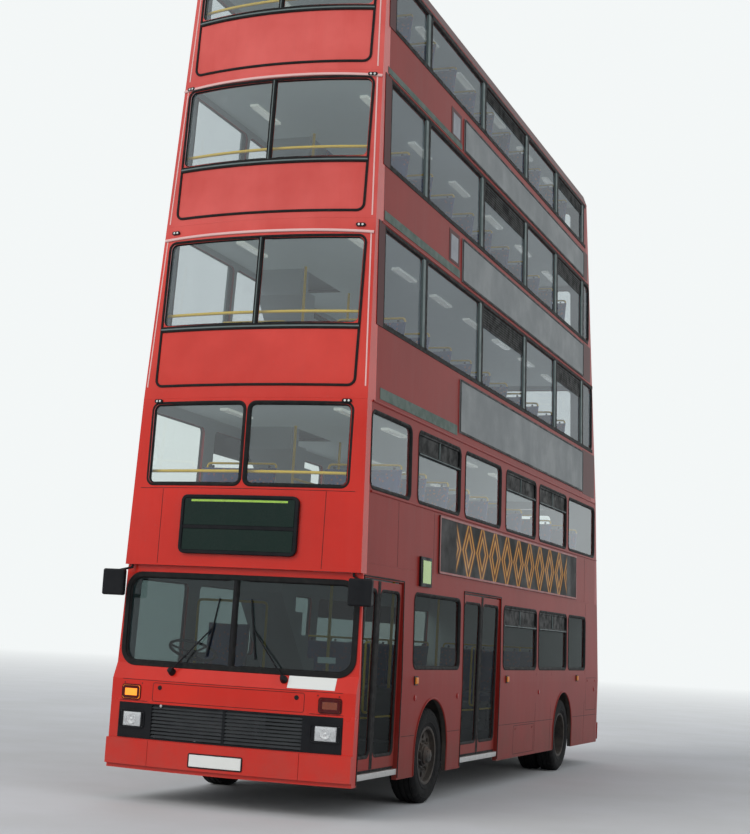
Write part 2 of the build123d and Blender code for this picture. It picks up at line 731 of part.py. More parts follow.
# Rear of the lower deck, with the opening for the engine cover
cover_half_width = 840
cover_low_z = 612
cover_high_z = 1290
cover_gap = 6
lower_rear_windows = [(-760, 760, 1450, 2060)]
lower_rear = shaped(lower_ring,
                    [block(-reach, 0, -cover_half_width, cover_half_width, cover_low_z, cover_high_z),
                     end_prisms(lower_rear_windows, -reach, 0)],
                    block(-reach, lower_back_x - seam, -reach, reach, 0, reach))
save(lower_rear, "lower_rear")
engine_cover = shaped(shell_ring(skirt_z, waist_z, 0, 34), extras=[shell_ring(waist_z, cantrail_z, 0, 34)],
                      within=block(-reach, -4800, -cover_half_width + cover_gap, cover_half_width - cover_gap,
                                   cover_low_z + cover_gap, cover_high_z - cover_gap))
hinge_long = 120
louvre_y = 400
louvre_z = 1000
louvre_width = 600
louvre_height = 14
louvre_pitch = 34
louvre_count = 9


def hinge_barrels(height, gap, ys, long):
    """Barrels along the top edge of a flap in the back of the shell, on its hinge line."""
    with BuildPart() as barrels:
        for y in ys:
            with BuildSketch(Plane.XZ.offset(-(y + long / 2))):
                with Locations((shell_at(height)[2], height)):
                    Circle(gap - seat_gap)
            extrude(amount=long)
    return barrels.part


with BuildPart() as louvre_slots:
    with BuildSketch(Plane.YZ.offset(-reach)):
        with Locations((0, louvre_z)):
            with GridLocations(2 * louvre_y, louvre_pitch, 2, louvre_count):
                SlotOverall(louvre_width, louvre_height)
    extrude(amount=reach)
engine_cover = shaped(engine_cover, [louvre_slots.part],
                      extras=[hinge_barrels(cover_high_z - cover_gap, cover_gap, (-600, 0, 600), hinge_long)])
save(engine_cover, "engine_cover")

# Walls, glass and side panels of the upper decks
def window_row(base, top, sill, head):
    """Windows of one added deck, between its pillars."""
    front = shell_at(top)[1] - window_end_margin
    back = shell_at(top)[2] + window_end_margin
    edges = [front] + pillar_xs + [back]
    row = []
    for index in range(len(edges) - 1):
        high_x = edges[index] - (pillar_width / 2 if index > 0 else 0)
        low_x = edges[index + 1] + (pillar_width / 2 if index < len(pillar_xs) else 0)
        if high_x - low_x > 3 * window_corner:
            row.append((low_x, high_x, sill, head))
    return row


emergency_half = 560
emergency_low_z = 2960
emergency_high_z = 3740
nearside_walls = []
offside_walls = []
front_walls = []
rear_walls = []
nearside_panes = []
offside_panes = []
front_panes = []
rear_panes = []
for deck, base, top, floor, sill, head, front_sill, front_head, front_half in decks:
    low = base + half_seam
    high = top - half_seam
    ring = shell_ring(low, high)
    panes = shell_ring(low, high, glass_depth, glass_thickness)
    side_low = max(low, cantrail_z + half_seam)
    front_x = shell_at(top)[1] - front_panel_depth
    back_x_here = shell_at(top)[2] + rear_panel_depth
    row = deck_2_windows if deck == 2 else window_row(base, top, sill, head)
    front_row = [(-front_half, -front_pillar / 2, front_sill, front_head),
                 (front_pillar / 2, front_half, front_sill, front_head)]
    if deck == 2:
        rear_row = []
        rear_cuts = [block(-reach, 0, -emergency_half, emergency_half, emergency_low_z, emergency_high_z)]
    else:
        rear_row = [(-780, 780, sill, head)]
        rear_cuts = [end_prisms(rear_row, -reach, 0)]
    nearside_walls.append(shaped(ring, [side_prisms(row, 0, reach)],
                                 block(back_x_here, front_x, 0, reach, side_low, reach)))
    offside_walls.append(shaped(ring, [side_prisms(row, -reach, 0)],
                                block(back_x_here, front_x, -reach, 0, side_low, reach)))
    divided = (front_half, front_sill, front_head, front_window_corner, thin_pillar)
    if deck == 2:
        front_cut = end_prisms(front_row, 0, reach, 0, front_window_corner)
        front_pane = end_prisms(front_row, 3000, reach, glass_gap, front_window_corner)
    else:
        front_cut = divided_prism(*divided, 0, reach)
        front_pane = divided_prism(*divided, 3000, reach, glass_gap)
    front_walls.append(shaped(ring, [front_cut], block(front_x + seam, reach, -reach, reach, 0, reach)))
    rear_walls.append(shaped(ring, rear_cuts, block(-reach, back_x_here - seam, -reach, reach, side_low, reach)))
    nearside_panes.append(shaped(panes, within=side_prisms(row, 0, reach, glass_gap)))
    offside_panes.append(shaped(panes, within=side_prisms(row, -reach, 0, glass_gap)))
    front_panes.append(shaped(panes, within=front_pane))
    if rear_row:
        rear_panes.append(shaped(panes, within=end_prisms(rear_row, -reach, -3000, glass_gap)))
lower_panes = shaped(shell_ring(skirt_z, waist_z, glass_depth, glass_thickness),
                     extras=[shell_ring(waist_z, cantrail_z, glass_depth, glass_thickness)])
nearside_panes.append(shaped(lower_panes, within=side_prisms(nearside_lower_windows, 0, reach, glass_gap)))
offside_panes.append(shaped(lower_panes, within=side_prisms(offside_lower_windows, -reach, 0, glass_gap)))
rear_panes.append(shaped(lower_panes, within=end_prisms(lower_rear_windows, -reach, -3000, glass_gap)))
for name, solids in [("upper_nearside", nearside_walls), ("upper_offside", offside_walls),
                     ("upper_front", front_walls), ("upper_rear", rear_walls),
                     ("nearside_glass", nearside_panes), ("offside_glass", offside_panes),
                     ("front_glass", front_panes), ("rear_glass", rear_panes)]:
    save(shaped(solids[0], extras=solids[1:]), name)

# Emergency exit at the back of the second deck, hung from its top edge
exit_gap = 6
exit_ring = shell_ring(canopy_z, deck_3_seam_z, 0, 34)
exit_frame = shaped(exit_ring, [end_prisms([(-470, 470, 3050, 3660)], -reach, 0)],
                    block(-reach, -4500, -emergency_half + exit_gap, emergency_half - exit_gap,
                          emergency_low_z + exit_gap, emergency_high_z - exit_gap))
exit_frame = shaped(exit_frame,
                    extras=[hinge_barrels(emergency_high_z - exit_gap, exit_gap, (-400, 400), hinge_long)])
save(exit_frame, "emergency_exit")
save(shaped(shell_ring(canopy_z, deck_3_seam_z, 14, glass_thickness),
            within=end_prisms([(-470, 470, 3050, 3660)], -reach, -3000, glass_gap)), "emergency_exit_glass")

# Roof, a hollow dome with soft edges
roof_rise = 230
roof_skin = 40
# columns: height over the roof edge, inset from the edge
roof_steps = [(half_seam, 0), (130, 45), (roof_rise - 25, 190), (roof_rise, 420)]
hollow_steps = [(half_seam, wall), (130 - roof_skin, 45 + wall), (roof_rise - 25 - roof_skin, 190 + wall),
                (roof_rise - roof_skin, 420 + wall)]


def dome(steps):
    """Stacked outlines of the roof, lofted."""
    half, front, back, bow = shell_at(roof_edge_z)
    sections = []
    for rise, inset in steps:
        with BuildSketch(Plane.XY.offset(roof_edge_z + rise)) as plan:
            with BuildLine():
                Polyline((front - inset, -half + inset), (back + inset, -half + inset),
                         (back + inset, half - inset), (front - inset, half - inset))
                ThreePointArc((front - inset, half - inset), (front + bow - inset, 0),
                              (front - inset, -half + inset))
            make_face()
            fillet(plan.vertices(), front_corner_radius)
        sections.append(plan.sketch)
    with BuildPart() as lofted:
        loft(sections, ruled=True)
    return lofted.part


save(shaped(dome(roof_steps), [dome(hollow_steps)]), "roof")

# Bumpers
def bumper(low_x, high_x, cuts, low_z, high_z):
    """Band round one end of the bus, flush with its sides and parted into pieces."""
    return shaped(shell_ring(low_z, high_z, -bumper_depth, bumper_depth - seat_gap), cuts,
                  block(low_x, high_x, -half_width, half_width, 0, reach))


seam_blocks = [block(-reach, reach, y - 2, y + 2, 0, reach) for y in (-bumper_seam_y, bumper_seam_y)]
save(bumper(face_x - bumper_wrap, reach, seam_blocks, bumper_bottom_z, bumper_top_z), "front_bumper")
save(bumper(-reach, back_x + bumper_wrap, seam_blocks, bumper_bottom_z, bumper_top_z), "rear_bumper")

# Destination box on the front of the second deck
box_half_width = 607
box_low_z = 2333
box_high_z = 2892
box_stand = 30
blind_low_x = 3010
blind_high_x = 3350
blind_low_z = 2180
blind_high_z = 2480
blind_proud = 24
dark_back_x = -3480
dark_front_x = 2740
dark_low_z = 2345
dark_high_z = 2955
# columns: lowest z, highest z
grey_rows = [(3920, 4520), (5625, 6120), (7135, 7520)]
grey_back_x = -3830
grey_front_x = 2130
panel_proud = 12
rear_lamp_y = 1030
rear_lamp_z = 640
rear_lamp_width = 130
rear_lamp_pitch = 160
rear_lamp_space = 12
rear_lamp_count = 3
rear_lamp_proud = 22
rear_lamp_corner = 20
mirror_x = 5070
mirror_y = 1270
mirror_z = 2035
mirror_depth = 70
mirror_width = 230
mirror_height = 250
mirror_round = 20
arm_foot_x = 4955
arm_foot_y = 1150
arm_bend_z = 2185
arm_radius = 11
# columns: y of the spindle, y of the blade's lower end, y of its upper end
wipers = [(-594, -260, -160), (556, 245, 166)]
wiper_z = 1215
blade_low_z = 1380
blade_high_z = 1930
blade_stand = -8
spindle_long = 40
spindle_radius = 16
wiper_arm_radius = 7
blade_radius = 8
cab_y = -700
cab_seat_x = 4150
driver_width = 480
# columns: x ahead of the seat's reference, height over the cab floor
driver_outline = [(-60, 0), (-60, 330), (60, 350), (60, 470), (-350, 445), (-450, 1080), (-540, 1060), (-440, 330),
                  (-280, 330), (-280, 0)]
wheel_x = 4440
wheel_z = 1420
wheel_ring = 230
wheel_tube = 15
wheel_hub = 60
wheel_spoke = 34
wheel_tilt = 0.45
column_radius = 28
column_foot_z = 680
cowl_x = 4700
cowl_depth = 140
cowl_offside = 1150
cowl_nearside = 250
cowl_top_z = 1150
cab_screen_x = 3545
cab_screen_thickness = 30
cab_screen_top = 1950
aisle_y = 320
rail_rise = 130
rail_stand = 60
rail_radius = 15
pole_radius = 16
guard_y = -360
guard_xs = (1800, 3080)
guard_height = 900
door_pole_xs = (3690, 1880, 260)
door_pole_y = 420
destination_box = shaped(shell_ring(canopy_z, deck_3_seam_z, -box_stand, box_stand - seat_gap),
                         within=end_prisms([(-box_half_width, box_half_width, box_low_z, box_high_z)], 0, reach))


def side_panel(low_x, high_x, low, high, proud):
    """Thin panel that lies on the sloping nearside wall."""
    low_y = shell_at(low)[0]
    high_y = shell_at(high)[0]
    with BuildPart() as panel:
        with BuildSketch(Plane.YZ.offset(low_x)):
            with BuildLine():
                Polyline((low_y + seat_gap, low), (low_y + proud, low), (high_y + proud, high),
                         (high_y + seat_gap, high), close=True)
            make_face()
        extrude(amount=high_x - low_x)
    return panel.part


side_blind = side_panel(blind_low_x, blind_high_x, blind_low_z, blind_high_z, blind_proud)
save(shaped(destination_box, extras=[side_blind]), "destination_box")

# Sign panels: a dark one along the second deck and grey ones along the added decks, on both sides
dark_panel = side_panel(dark_back_x, dark_front_x, dark_low_z, dark_high_z, panel_proud)
save(shaped(dark_panel, extras=[mirror(dark_panel, about=Plane.XZ)]), "advert_panels")
grey_panels = [side_panel(grey_back_x, grey_front_x, low, high, panel_proud) for low, high in grey_rows]
grey_panels += [mirror(panel, about=Plane.XZ) for panel in grey_panels]
save(shaped(grey_panels[0], extras=grey_panels[1:]), "sign_panels")

# Rear lamp clusters, one over the other at each corner
rear_lamp_zones = []
for side in (-1, 1):
    for number in range(rear_lamp_count):
        low = rear_lamp_z + number * rear_lamp_pitch
        rear_lamp_zones.append((side * rear_lamp_y - rear_lamp_width / 2, side * rear_lamp_y + rear_lamp_width / 2,
                                low, low + rear_lamp_pitch - rear_lamp_space))
save(end_prisms(rear_lamp_zones, back_x - rear_lamp_proud, back_x - seat_gap, 0, rear_lamp_corner), "rear_lamps")


def rod(start, end, radius):
    """Round bar between two points in space."""
    along = Vector(*end) - Vector(*start)
    with BuildPart() as bar:
        with BuildSketch(Plane(origin=start, z_dir=along)):
            Circle(radius)
        extrude(amount=along.length)
    return bar.part


# Mirrors, hung on bent arms under the corners of the canopy
def mirror_unit():
    """Nearside mirror: a rounded head and its arm."""
    arm_bend = (arm_foot_x, arm_foot_y, arm_bend_z)
    with BuildPart() as unit:
        with Locations((mirror_x, mirror_y, mirror_z)):
            Box(mirror_depth, mirror_width, mirror_height)
        fillet(unit.edges(), mirror_round)
        add(rod((arm_foot_x, arm_foot_y, canopy_z + half_seam - seat_gap), arm_bend, arm_radius))
        with Locations(arm_bend):
            Sphere(arm_radius)
        add(rod(arm_bend, (mirror_x, mirror_y, mirror_z + mirror_height / 2 - mirror_round), arm_radius))
    return unit.part


nearside_mirror = mirror_unit()
save(shaped(nearside_mirror, extras=[mirror(nearside_mirror, about=Plane.XZ)]), "mirrors")

# Wipers: a spindle boss on the ledge, an arm and a blade lying along the screen
def screen_x(y, height):
    """x of the outer face of the shell front at a place, ahead of the windscreen's set back."""
    half, front, back, bow = shell_at(height)
    radius = (half ** 2 + bow ** 2) / (2 * bow)
    return front + bow - radius + (radius ** 2 - y ** 2) ** 0.5


wiper_parts = []
ledge_top_z = windscreen_sill_z - 20
ledge_share = (wiper_z - ledge_z) / (ledge_top_z - ledge_z)
for pivot_y, low_y, high_y in wipers:
    ledge_low_x = screen_x(pivot_y, ledge_z)
    ledge_top_x = screen_x(pivot_y, ledge_top_z) - screen_set_back
    foot = Vector(ledge_low_x + ledge_share * (ledge_top_x - ledge_low_x), pivot_y, wiper_z)
    across = (screen_x(pivot_y + 1, wiper_z) - screen_x(pivot_y - 1, wiper_z)) / 2
    outward = Vector(1, -across, (ledge_low_x - ledge_top_x) / (ledge_top_z - ledge_z)).normalized()
    spindle_foot = foot + outward * seat_gap
    spindle = foot + outward * spindle_long
    blade_low = (screen_x(low_y, blade_low_z) - screen_set_back + blade_stand, low_y, blade_low_z)
    blade_high = (screen_x(high_y, blade_high_z) - screen_set_back + blade_stand, high_y, blade_high_z)
    middle = (Vector(*blade_low) + Vector(*blade_high)) * 0.5
    with BuildPart() as wiper:
        add(rod(spindle_foot, spindle, spindle_radius))
        add(rod(spindle, middle, wiper_arm_radius))
        add(rod(blade_low, blade_high, blade_radius))
    wiper_parts.append(wiper.part)
save(shaped(wiper_parts[0], extras=wiper_parts[1:]), "wipers")

# Cab: driver's seat, steering wheel on its column, cowl and the screen behind the driver
cab_floor = floor_z + floor_thickness + seat_gap
driver_points = [(cab_seat_x + forward, cab_floor + rise) for forward, rise in driver_outline]
with BuildPart() as driver_seat:
    with BuildSketch(Plane.XZ.offset(-(cab_y - driver_width / 2))):
        with BuildLine():
            Polyline(*driver_points, close=True)
        make_face()
    extrude(amount=-driver_width)
wheel_plane = Plane(origin=(wheel_x, cab_y, wheel_z), z_dir=(-wheel_tilt, 0, 1))
with BuildPart() as steering_wheel:
    with BuildSketch(Plane(origin=(wheel_x, cab_y, wheel_z), x_dir=(0, 1, 0), z_dir=(1, 0, wheel_tilt))):
        with Locations((wheel_ring, 0)):
            Circle(wheel_tube)
    revolve(axis=Axis((wheel_x, cab_y, wheel_z), (-wheel_tilt, 0, 1)))
    with BuildSketch(wheel_plane.offset(-wheel_tube / 2)):
        Circle(wheel_hub)
        Rectangle(2 * wheel_ring, wheel_spoke)
    extrude(amount=wheel_tube)
    column_foot = (wheel_x + wheel_tilt * (wheel_z - column_foot_z), cab_y, column_foot_z)
    add(rod((wheel_x, cab_y, wheel_z), column_foot, column_radius))
cowl = block(cowl_x, cowl_x + cowl_depth, -cowl_offside, cowl_nearside, cab_floor, cowl_top_z)
cab_screen = block(cab_screen_x, cab_screen_x + cab_screen_thickness, -cowl_offside, -aisle_y,
                   cab_floor, cab_screen_top)
save(shaped(driver_seat.part, extras=[steering_wheel.part, cowl, cab_screen]), "cab")

# Hand rails: a bowed bar across each upper front, stairwell guards, and poles by the doors
def front_rail(height, front_x):
    """Round bar that follows the inside of the bowed front and ends at the side walls."""
    half, front, back, bow = shell_at(height)
    with BuildPart() as rail:
        with BuildLine() as line:
            ThreePointArc((front_x - bow, half, height), (front_x, 0, height), (front_x - bow, -half, height))
        with BuildSketch(Plane(origin=line.line @ 0, z_dir=line.line % 0)):
            Circle(rail_radius)
        sweep()
    return shaped(rail.part, (), shell_block(height - 2 * rail_radius, height + 2 * rail_radius, wall + seat_gap))


rails = []
for deck, base, top, floor, sill, head, front_sill, front_head, front_half in decks:
    rail_z = front_sill + rail_rise
    inner_nose = shell_at(rail_z)[1] + shell_at(rail_z)[3] - wall
    rails.append(front_rail(rail_z, inner_nose - rail_stand))
    pole_low = floor + floor_thickness + seat_gap
    pole_high = (top + 20 if deck < 5 else roof_edge_z + roof_rise - roof_skin) - seat_gap
    guard = [rod((x, guard_y, pole_low), (x, guard_y, pole_high), pole_radius) for x in guard_xs]
    guard_z = pole_low + guard_height
    guard.append(rod((guard_xs[0], guard_y, guard_z), (guard_xs[1], guard_y, guard_z), pole_radius - 2))
    rails.append(shaped(guard[0], extras=guard[1:]))
for x in door_pole_xs:
    rails.append(rod((x, door_pole_y, cab_floor), (x, door_pole_y, decks[0][3] - seat_gap), pole_radius))
save(shaped(rails[0], extras=rails[1:]), "handrails")

# Door leaves: each a frame round a tall pane, turning inwards on a post at its outer edge
for door, back, front, meeting in doorways:
    leaves = [("front", meeting + leaf_meeting_gap / 2, front - leaf_side_gap),
              ("rear", back + leaf_side_gap, meeting - leaf_meeting_gap / 2)]
    middle = leaf_outer_y - leaf_thickness / 2
    for end, low_x, high_x in leaves:
        pivot_x = high_x - leaf_pivot_inset if end == "front" else low_x + leaf_pivot_inset
        with BuildPart() as pivot:
            with BuildSketch(Plane.XY.offset(well_floor_z + seat_gap)):
                with Locations((pivot_x, middle)):
                    Circle(leaf_pivot_radius)
            extrude(amount=door_top_z - well_floor_z - 2 * seat_gap)
        pane = [(low_x + leaf_rail, high_x - leaf_rail, leaf_bottom_z + 120, leaf_top_z - 90)]
        plate = block(low_x, high_x, leaf_outer_y - leaf_thickness, leaf_outer_y, leaf_bottom_z, leaf_top_z)
        frame = shaped(plate,
                       [side_prisms(pane, 0, reach, 0, 60)], extras=[pivot.part])
        save(frame, door + "_leaf_" + end)
        save(side_prisms(pane, middle - glass_thickness / 2, middle + glass_thickness / 2, glass_gap, 60),
             door + "_leaf_" + end + "_glass")

# Seat rows, one long solid for each side of each deck
seat_pitch = 760
seat_height = 430
back_height = 950
seat_depth = 430
cushion = 110
pedestal_front = 180
pedestal = 80
seat_width = 840
seat_inner_y = 265
plinth = 70


def seat_row(front_x, count, floor, side, wide):
    """Row of seats on a plinth, drawn as one saw-toothed outline."""
    points = [(front_x - pedestal_front, floor)]
    for seat in range(count):
        x = front_x - seat * seat_pitch
        points += [(x - pedestal_front, floor + seat_height - cushion), (x, floor + seat_height - cushion),
                   (x, floor + seat_height), (x - seat_depth, floor + seat_height - 20),
                   (x - seat_depth - 90, floor + back_height), (x - seat_depth - 150, floor + back_height),
                   (x - seat_depth - 60, floor + seat_height - cushion),
                   (x - pedestal_front - pedestal, floor + seat_height - cushion)]
        if seat < count - 1:
            points += [(x - pedestal_front - pedestal, floor + plinth),
                       (x - seat_pitch - pedestal_front, floor + plinth)]
    points.append((front_x - (count - 1) * seat_pitch - pedestal_front - pedestal, floor))
    low_y = min(side * seat_inner_y, side * (seat_inner_y + wide))
    with BuildPart() as row:
        with BuildSketch(Plane.XZ.offset(-(low_y + wide))):
            with BuildLine():
                Polyline(*points, close=True)
            make_face()
        extrude(amount=wide)
    return row.part


nearside_rows = [seat_row(200, 3, levels[0] + seat_gap, 1, seat_width)]
offside_rows = [seat_row(1350, 4, levels[0] + seat_gap, -1, seat_width)]
for index, (deck, base, top, floor, sill, head, front_sill, front_head, front_half) in enumerate(decks):
    wide = shell_at(floor + back_height)[0] - floor_inset - 30 - seat_inner_y
    count = int((4250 - shell_at(floor + back_height)[2] - seat_depth - 300) / seat_pitch)
    rear_count = int((1350 - shell_at(floor + back_height)[2] - seat_depth - 300) / seat_pitch)
    nearside_rows.append(seat_row(4250, count, levels[index + 1] + seat_gap, 1, wide))
    offside_rows.append(seat_row(1350, rear_count, levels[index + 1] + seat_gap, -1, wide))
    offside_rows.append(seat_row(4250, 1, levels[index + 1] + seat_gap, -1, wide))
save(shaped(nearside_rows[0], extras=nearside_rows[1:]), "nearside_seats")
save(shaped(offside_rows[0], extras=offside_rows[1:]), "offside_seats")
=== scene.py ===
import json
import math

import bmesh
import bpy
from mathutils import Matrix, Vector
from mathutils.bvhtree import BVHTree


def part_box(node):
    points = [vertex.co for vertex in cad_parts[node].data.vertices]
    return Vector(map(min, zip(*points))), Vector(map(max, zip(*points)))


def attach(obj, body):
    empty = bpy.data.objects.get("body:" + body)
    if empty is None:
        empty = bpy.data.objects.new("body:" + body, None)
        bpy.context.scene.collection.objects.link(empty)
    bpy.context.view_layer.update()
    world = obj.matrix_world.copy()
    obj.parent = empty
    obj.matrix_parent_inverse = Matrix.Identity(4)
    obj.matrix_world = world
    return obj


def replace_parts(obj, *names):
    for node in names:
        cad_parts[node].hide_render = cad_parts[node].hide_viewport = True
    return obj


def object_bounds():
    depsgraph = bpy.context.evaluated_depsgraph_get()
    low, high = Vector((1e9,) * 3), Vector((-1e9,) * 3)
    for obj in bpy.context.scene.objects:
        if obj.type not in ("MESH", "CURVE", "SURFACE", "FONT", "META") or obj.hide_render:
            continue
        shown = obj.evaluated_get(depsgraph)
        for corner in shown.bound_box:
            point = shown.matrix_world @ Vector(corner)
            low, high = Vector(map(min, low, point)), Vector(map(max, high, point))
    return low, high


# A five-deck bus in metres: +X forwards, +Y to the nearside, +Z up, standing on the ground

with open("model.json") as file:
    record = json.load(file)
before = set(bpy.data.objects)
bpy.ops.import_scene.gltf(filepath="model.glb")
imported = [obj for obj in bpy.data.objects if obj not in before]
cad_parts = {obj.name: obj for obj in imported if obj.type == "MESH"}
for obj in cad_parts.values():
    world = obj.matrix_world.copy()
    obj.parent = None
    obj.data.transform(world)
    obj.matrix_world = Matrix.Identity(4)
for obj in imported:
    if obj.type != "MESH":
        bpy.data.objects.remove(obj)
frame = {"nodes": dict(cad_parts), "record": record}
nodes = frame["nodes"]
cad_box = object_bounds()
NEAR = 1
OFF = -1
SIDES = (NEAR, OFF)

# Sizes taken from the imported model
nose_x = cad_box[1][0]
tyre_low, tyre_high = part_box("front_tyre_left")
front_axle_x = (tyre_low.x + tyre_high.x) / 2
rear_axle_x = sum(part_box("rear_tyres_left"), Vector()).x / 2
axle_z = (tyre_high.z - tyre_low.z) / 2

# Levels over the ground
waist_z = 1.2
cantrail_z = 2.32
deck_3_seam_z = 3.83


# Shapes

class Shape:
    """Points and faces of one piece, gathered before its mesh is made."""

    def __init__(self):
        self.points = []
        self.faces = []
        self.skins = []

    def add(self, points, faces, skin=0):
        start = len(self.points)
        self.points += [tuple(point) for point in points]
        self.faces += [tuple(index + start for index in face) for face in faces]
        self.skins += [skin] * len(faces)

    def make(self, name, looks, slot="trim_black", body="body", sharp=35):
        """The piece as an object that rides on a body; looks are the names of its finishes."""
        mesh = bpy.data.meshes.new(name)
        mesh.from_pydata(self.points, [], self.faces)
        for look in looks.split():
            mesh.materials.append(finishes[look])
        mesh.polygons.foreach_set("material_index", self.skins)
        work = bmesh.new()
        work.from_mesh(mesh)
        bmesh.ops.recalc_face_normals(work, faces=work.faces)
        work.to_mesh(mesh)
        work.free()
        mesh.shade_smooth()
        mesh.set_sharp_from_angle(angle=math.radians(sharp))
        piece = bpy.data.objects.new(name, mesh)
        bpy.context.scene.collection.objects.link(piece)
        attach(piece, body)
        return piece


def lattice(rows, size, ring=False, loop=False):
    """Faces between neighbouring rows of points; a ring joins the last row to the first."""
    faces = []
    for i in range(rows if ring else rows - 1):
        j = (i + 1) % rows
        for k in range(size if loop else size - 1):
            m = (k + 1) % size
            faces.append((i * size + k, i * size + m, j * size + m, j * size + k))
    return faces


def sweep(shape, spots, profile, closed=False, skin=0):
    """Carries a profile of (across, up) pairs along (place, normal) pairs."""
    count = len(spots)
    size = len(profile)
    points = []
    for i, (place, normal) in enumerate(spots):
        before = spots[i - 1 if closed or i > 0 else i][0]
        after = spots[(i + 1) % count if closed or i < count - 1 else i][0]
        along = (after - before).normalized()
        across = along.cross(normal).normalized()
        up = across.cross(along).normalized()
        points += [place + across * a + up * h for a, h in profile]
    faces = lattice(count, size, closed, True)
    if not closed:
        faces += [tuple(range(size)), tuple((count - 1) * size + k for k in range(size))]
    shape.add(points, faces, skin)


def round_profile(radius, sides=10):
    """Round section for bars and tubes."""
    return [(radius * math.cos(2 * math.pi * k / sides), radius * math.sin(2 * math.pi * k / sides))
            for k in range(sides)]


def tube(shape, points, radius, bend=0.0, skin=0, sides=10):
    """Round bar through points, with its corners rounded to a bend."""
    points = [Vector(point) for point in points]
    path = points[:1]
    for before, corner, after in zip(points, points[1:], points[2:]):
        first = corner + (before - corner).normalized() * bend
        last = corner + (after - corner).normalized() * bend
        for step in range(7):
            share = step / 6
            path.append(first.lerp(corner, share).lerp(corner.lerp(last, share), share))
    path.append(points[-1])
    spots = []
    guide = Vector((0.13, 0.21, 0.97)).normalized()
    for i, place in enumerate(path):
        along = (path[min(i + 1, len(path) - 1)] - path[max(i - 1, 0)]).normalized()
        if abs(along.dot(guide)) > 0.95:
            guide = Vector((0.9, 0.35, 0.1)).normalized()
        guide = (guide - along * guide.dot(along)).normalized()
        spots.append((place, guide.copy()))
    sweep(shape, spots, round_profile(radius, sides), False, skin)


def box_shape(shape, low, high, bevel, skin=0):
    """Box with its twelve edges rounded off."""
    work = bmesh.new()
    bmesh.ops.create_cube(work, size=1)
    for vertex in work.verts:
        vertex.co = Vector([low[i] if vertex.co[i] < 0 else high[i] for i in range(3)])
    bmesh.ops.bevel(work, geom=list(work.edges), offset=bevel, segments=3, affect="EDGES", profile=0.7)
    work.verts.index_update()
    faces = [[vertex.index for vertex in face.verts] for face in work.faces]
    shape.add([vertex.co for vertex in work.verts], faces, skin)
    work.free()


def lathe(shape, centre, axis, profile, steps=48):
    """Surface turned from (along, radius) pairs about an axis through a centre."""
    axis = Vector(axis).normalized()
    side = axis.orthogonal().normalized()
    other = axis.cross(side)
    points = []
    for step in range(steps):
        angle = 2 * math.pi * step / steps
        out = side * math.cos(angle) + other * math.sin(angle)
        points += [Vector(centre) + axis * a + out * r for a, r in profile]
    shape.add(points, lattice(steps, len(profile), True))


def dome(shape, place, normal, radius, height, sides=10):
    """Small round head, such as a rivet or a lamp."""
    profile = [(0, radius), (height * 0.5, radius * 0.92), (height * 0.85, radius * 0.6), (height, 0.0001)]
    lathe(shape, place, normal, profile, sides)


# Places on the shell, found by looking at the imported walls

def wall_tree(*names):
    """Search tree of the faces of several nodes."""
    work = bmesh.new()
    for name in names:
        work.from_mesh(nodes[name].data)
    tree = BVHTree.FromBMesh(work)
    work.free()
    return tree


shell_tree = wall_tree("lower_nearside", "lower_offside", "lower_front", "lower_rear", "upper_nearside",
                       "upper_offside", "upper_front", "upper_rear", "roof")
glass_tree = wall_tree("nearside_glass", "offside_glass", "front_glass", "rear_glass", "windscreen")


def cast(tree, origin, direction):
    """Place and outward normal that a ray meets."""
    place, normal, index, distance = tree.ray_cast(Vector(origin), Vector(direction))
    if place is None:
        raise ValueError("nothing is hit from " + str(origin))
    return place, -normal if normal.dot(Vector(direction)) > 0 else normal


def finder(way, tree=shell_tree):
    """Gives find(a, z, lift) on what is seen against a way; a is x on a side and y on an end."""
    way = Vector(way)
    far = way * (3 if way.y else nose_x + 2)

    def find(a, z, lift=0.0):
        place, normal = cast(tree, far + Vector((a, 0, z) if way.y else (0, a, z)), -way)
        return place + normal * lift, normal

    return find


def flat_from(find, x, z):
    """Finder on the flat pane or wall at a point, out past its edges too."""
    middle, normal = find(x, z)

    def on_plane(x, z, lift=0.0):
        y = middle.y - (normal.x * (x - middle.x) + normal.z * (z - middle.z)) / normal.y
        return Vector((x, y, z)) + normal * lift, normal

    return on_plane


AHEAD = (1, 0, 0)
front = finder(AHEAD)
back = finder((-1, 0, 0))
walls = {side: finder((0, side, 0)) for side in SIDES}
lamp_face = finder(AHEAD, wall_tree("front_lamps"))
box_tree = wall_tree("destination_box")
box_face = finder(AHEAD, box_tree)
bumper_face = finder(AHEAD, wall_tree("front_bumper"))


def steps_between(low, high, pitch):
    count = max(1, math.ceil(abs(high - low) / pitch))
    return [low + (high - low) * i / count for i in range(count + 1)]


def flat_profile(wide, high, sink=0.001):
    """Section of a flat moulding with soft top edges."""
    soft = min(wide, high) * 0.3
    half = wide / 2
    return [(-half, -sink), (-half, high - soft), (-half + soft, high), (half - soft, high),
            (half, high - soft), (half, -sink)]


seam_profile = [(-0.0025, -0.0005), (-0.0025, 0.0007), (0.0025, 0.0007), (0.0025, -0.0005)]
half_round = [(-0.012, -0.001), (-0.011, 0.005), (-0.006, 0.009), (0.0, 0.0105), (0.006, 0.009),
              (0.011, 0.005), (0.012, -0.001)]


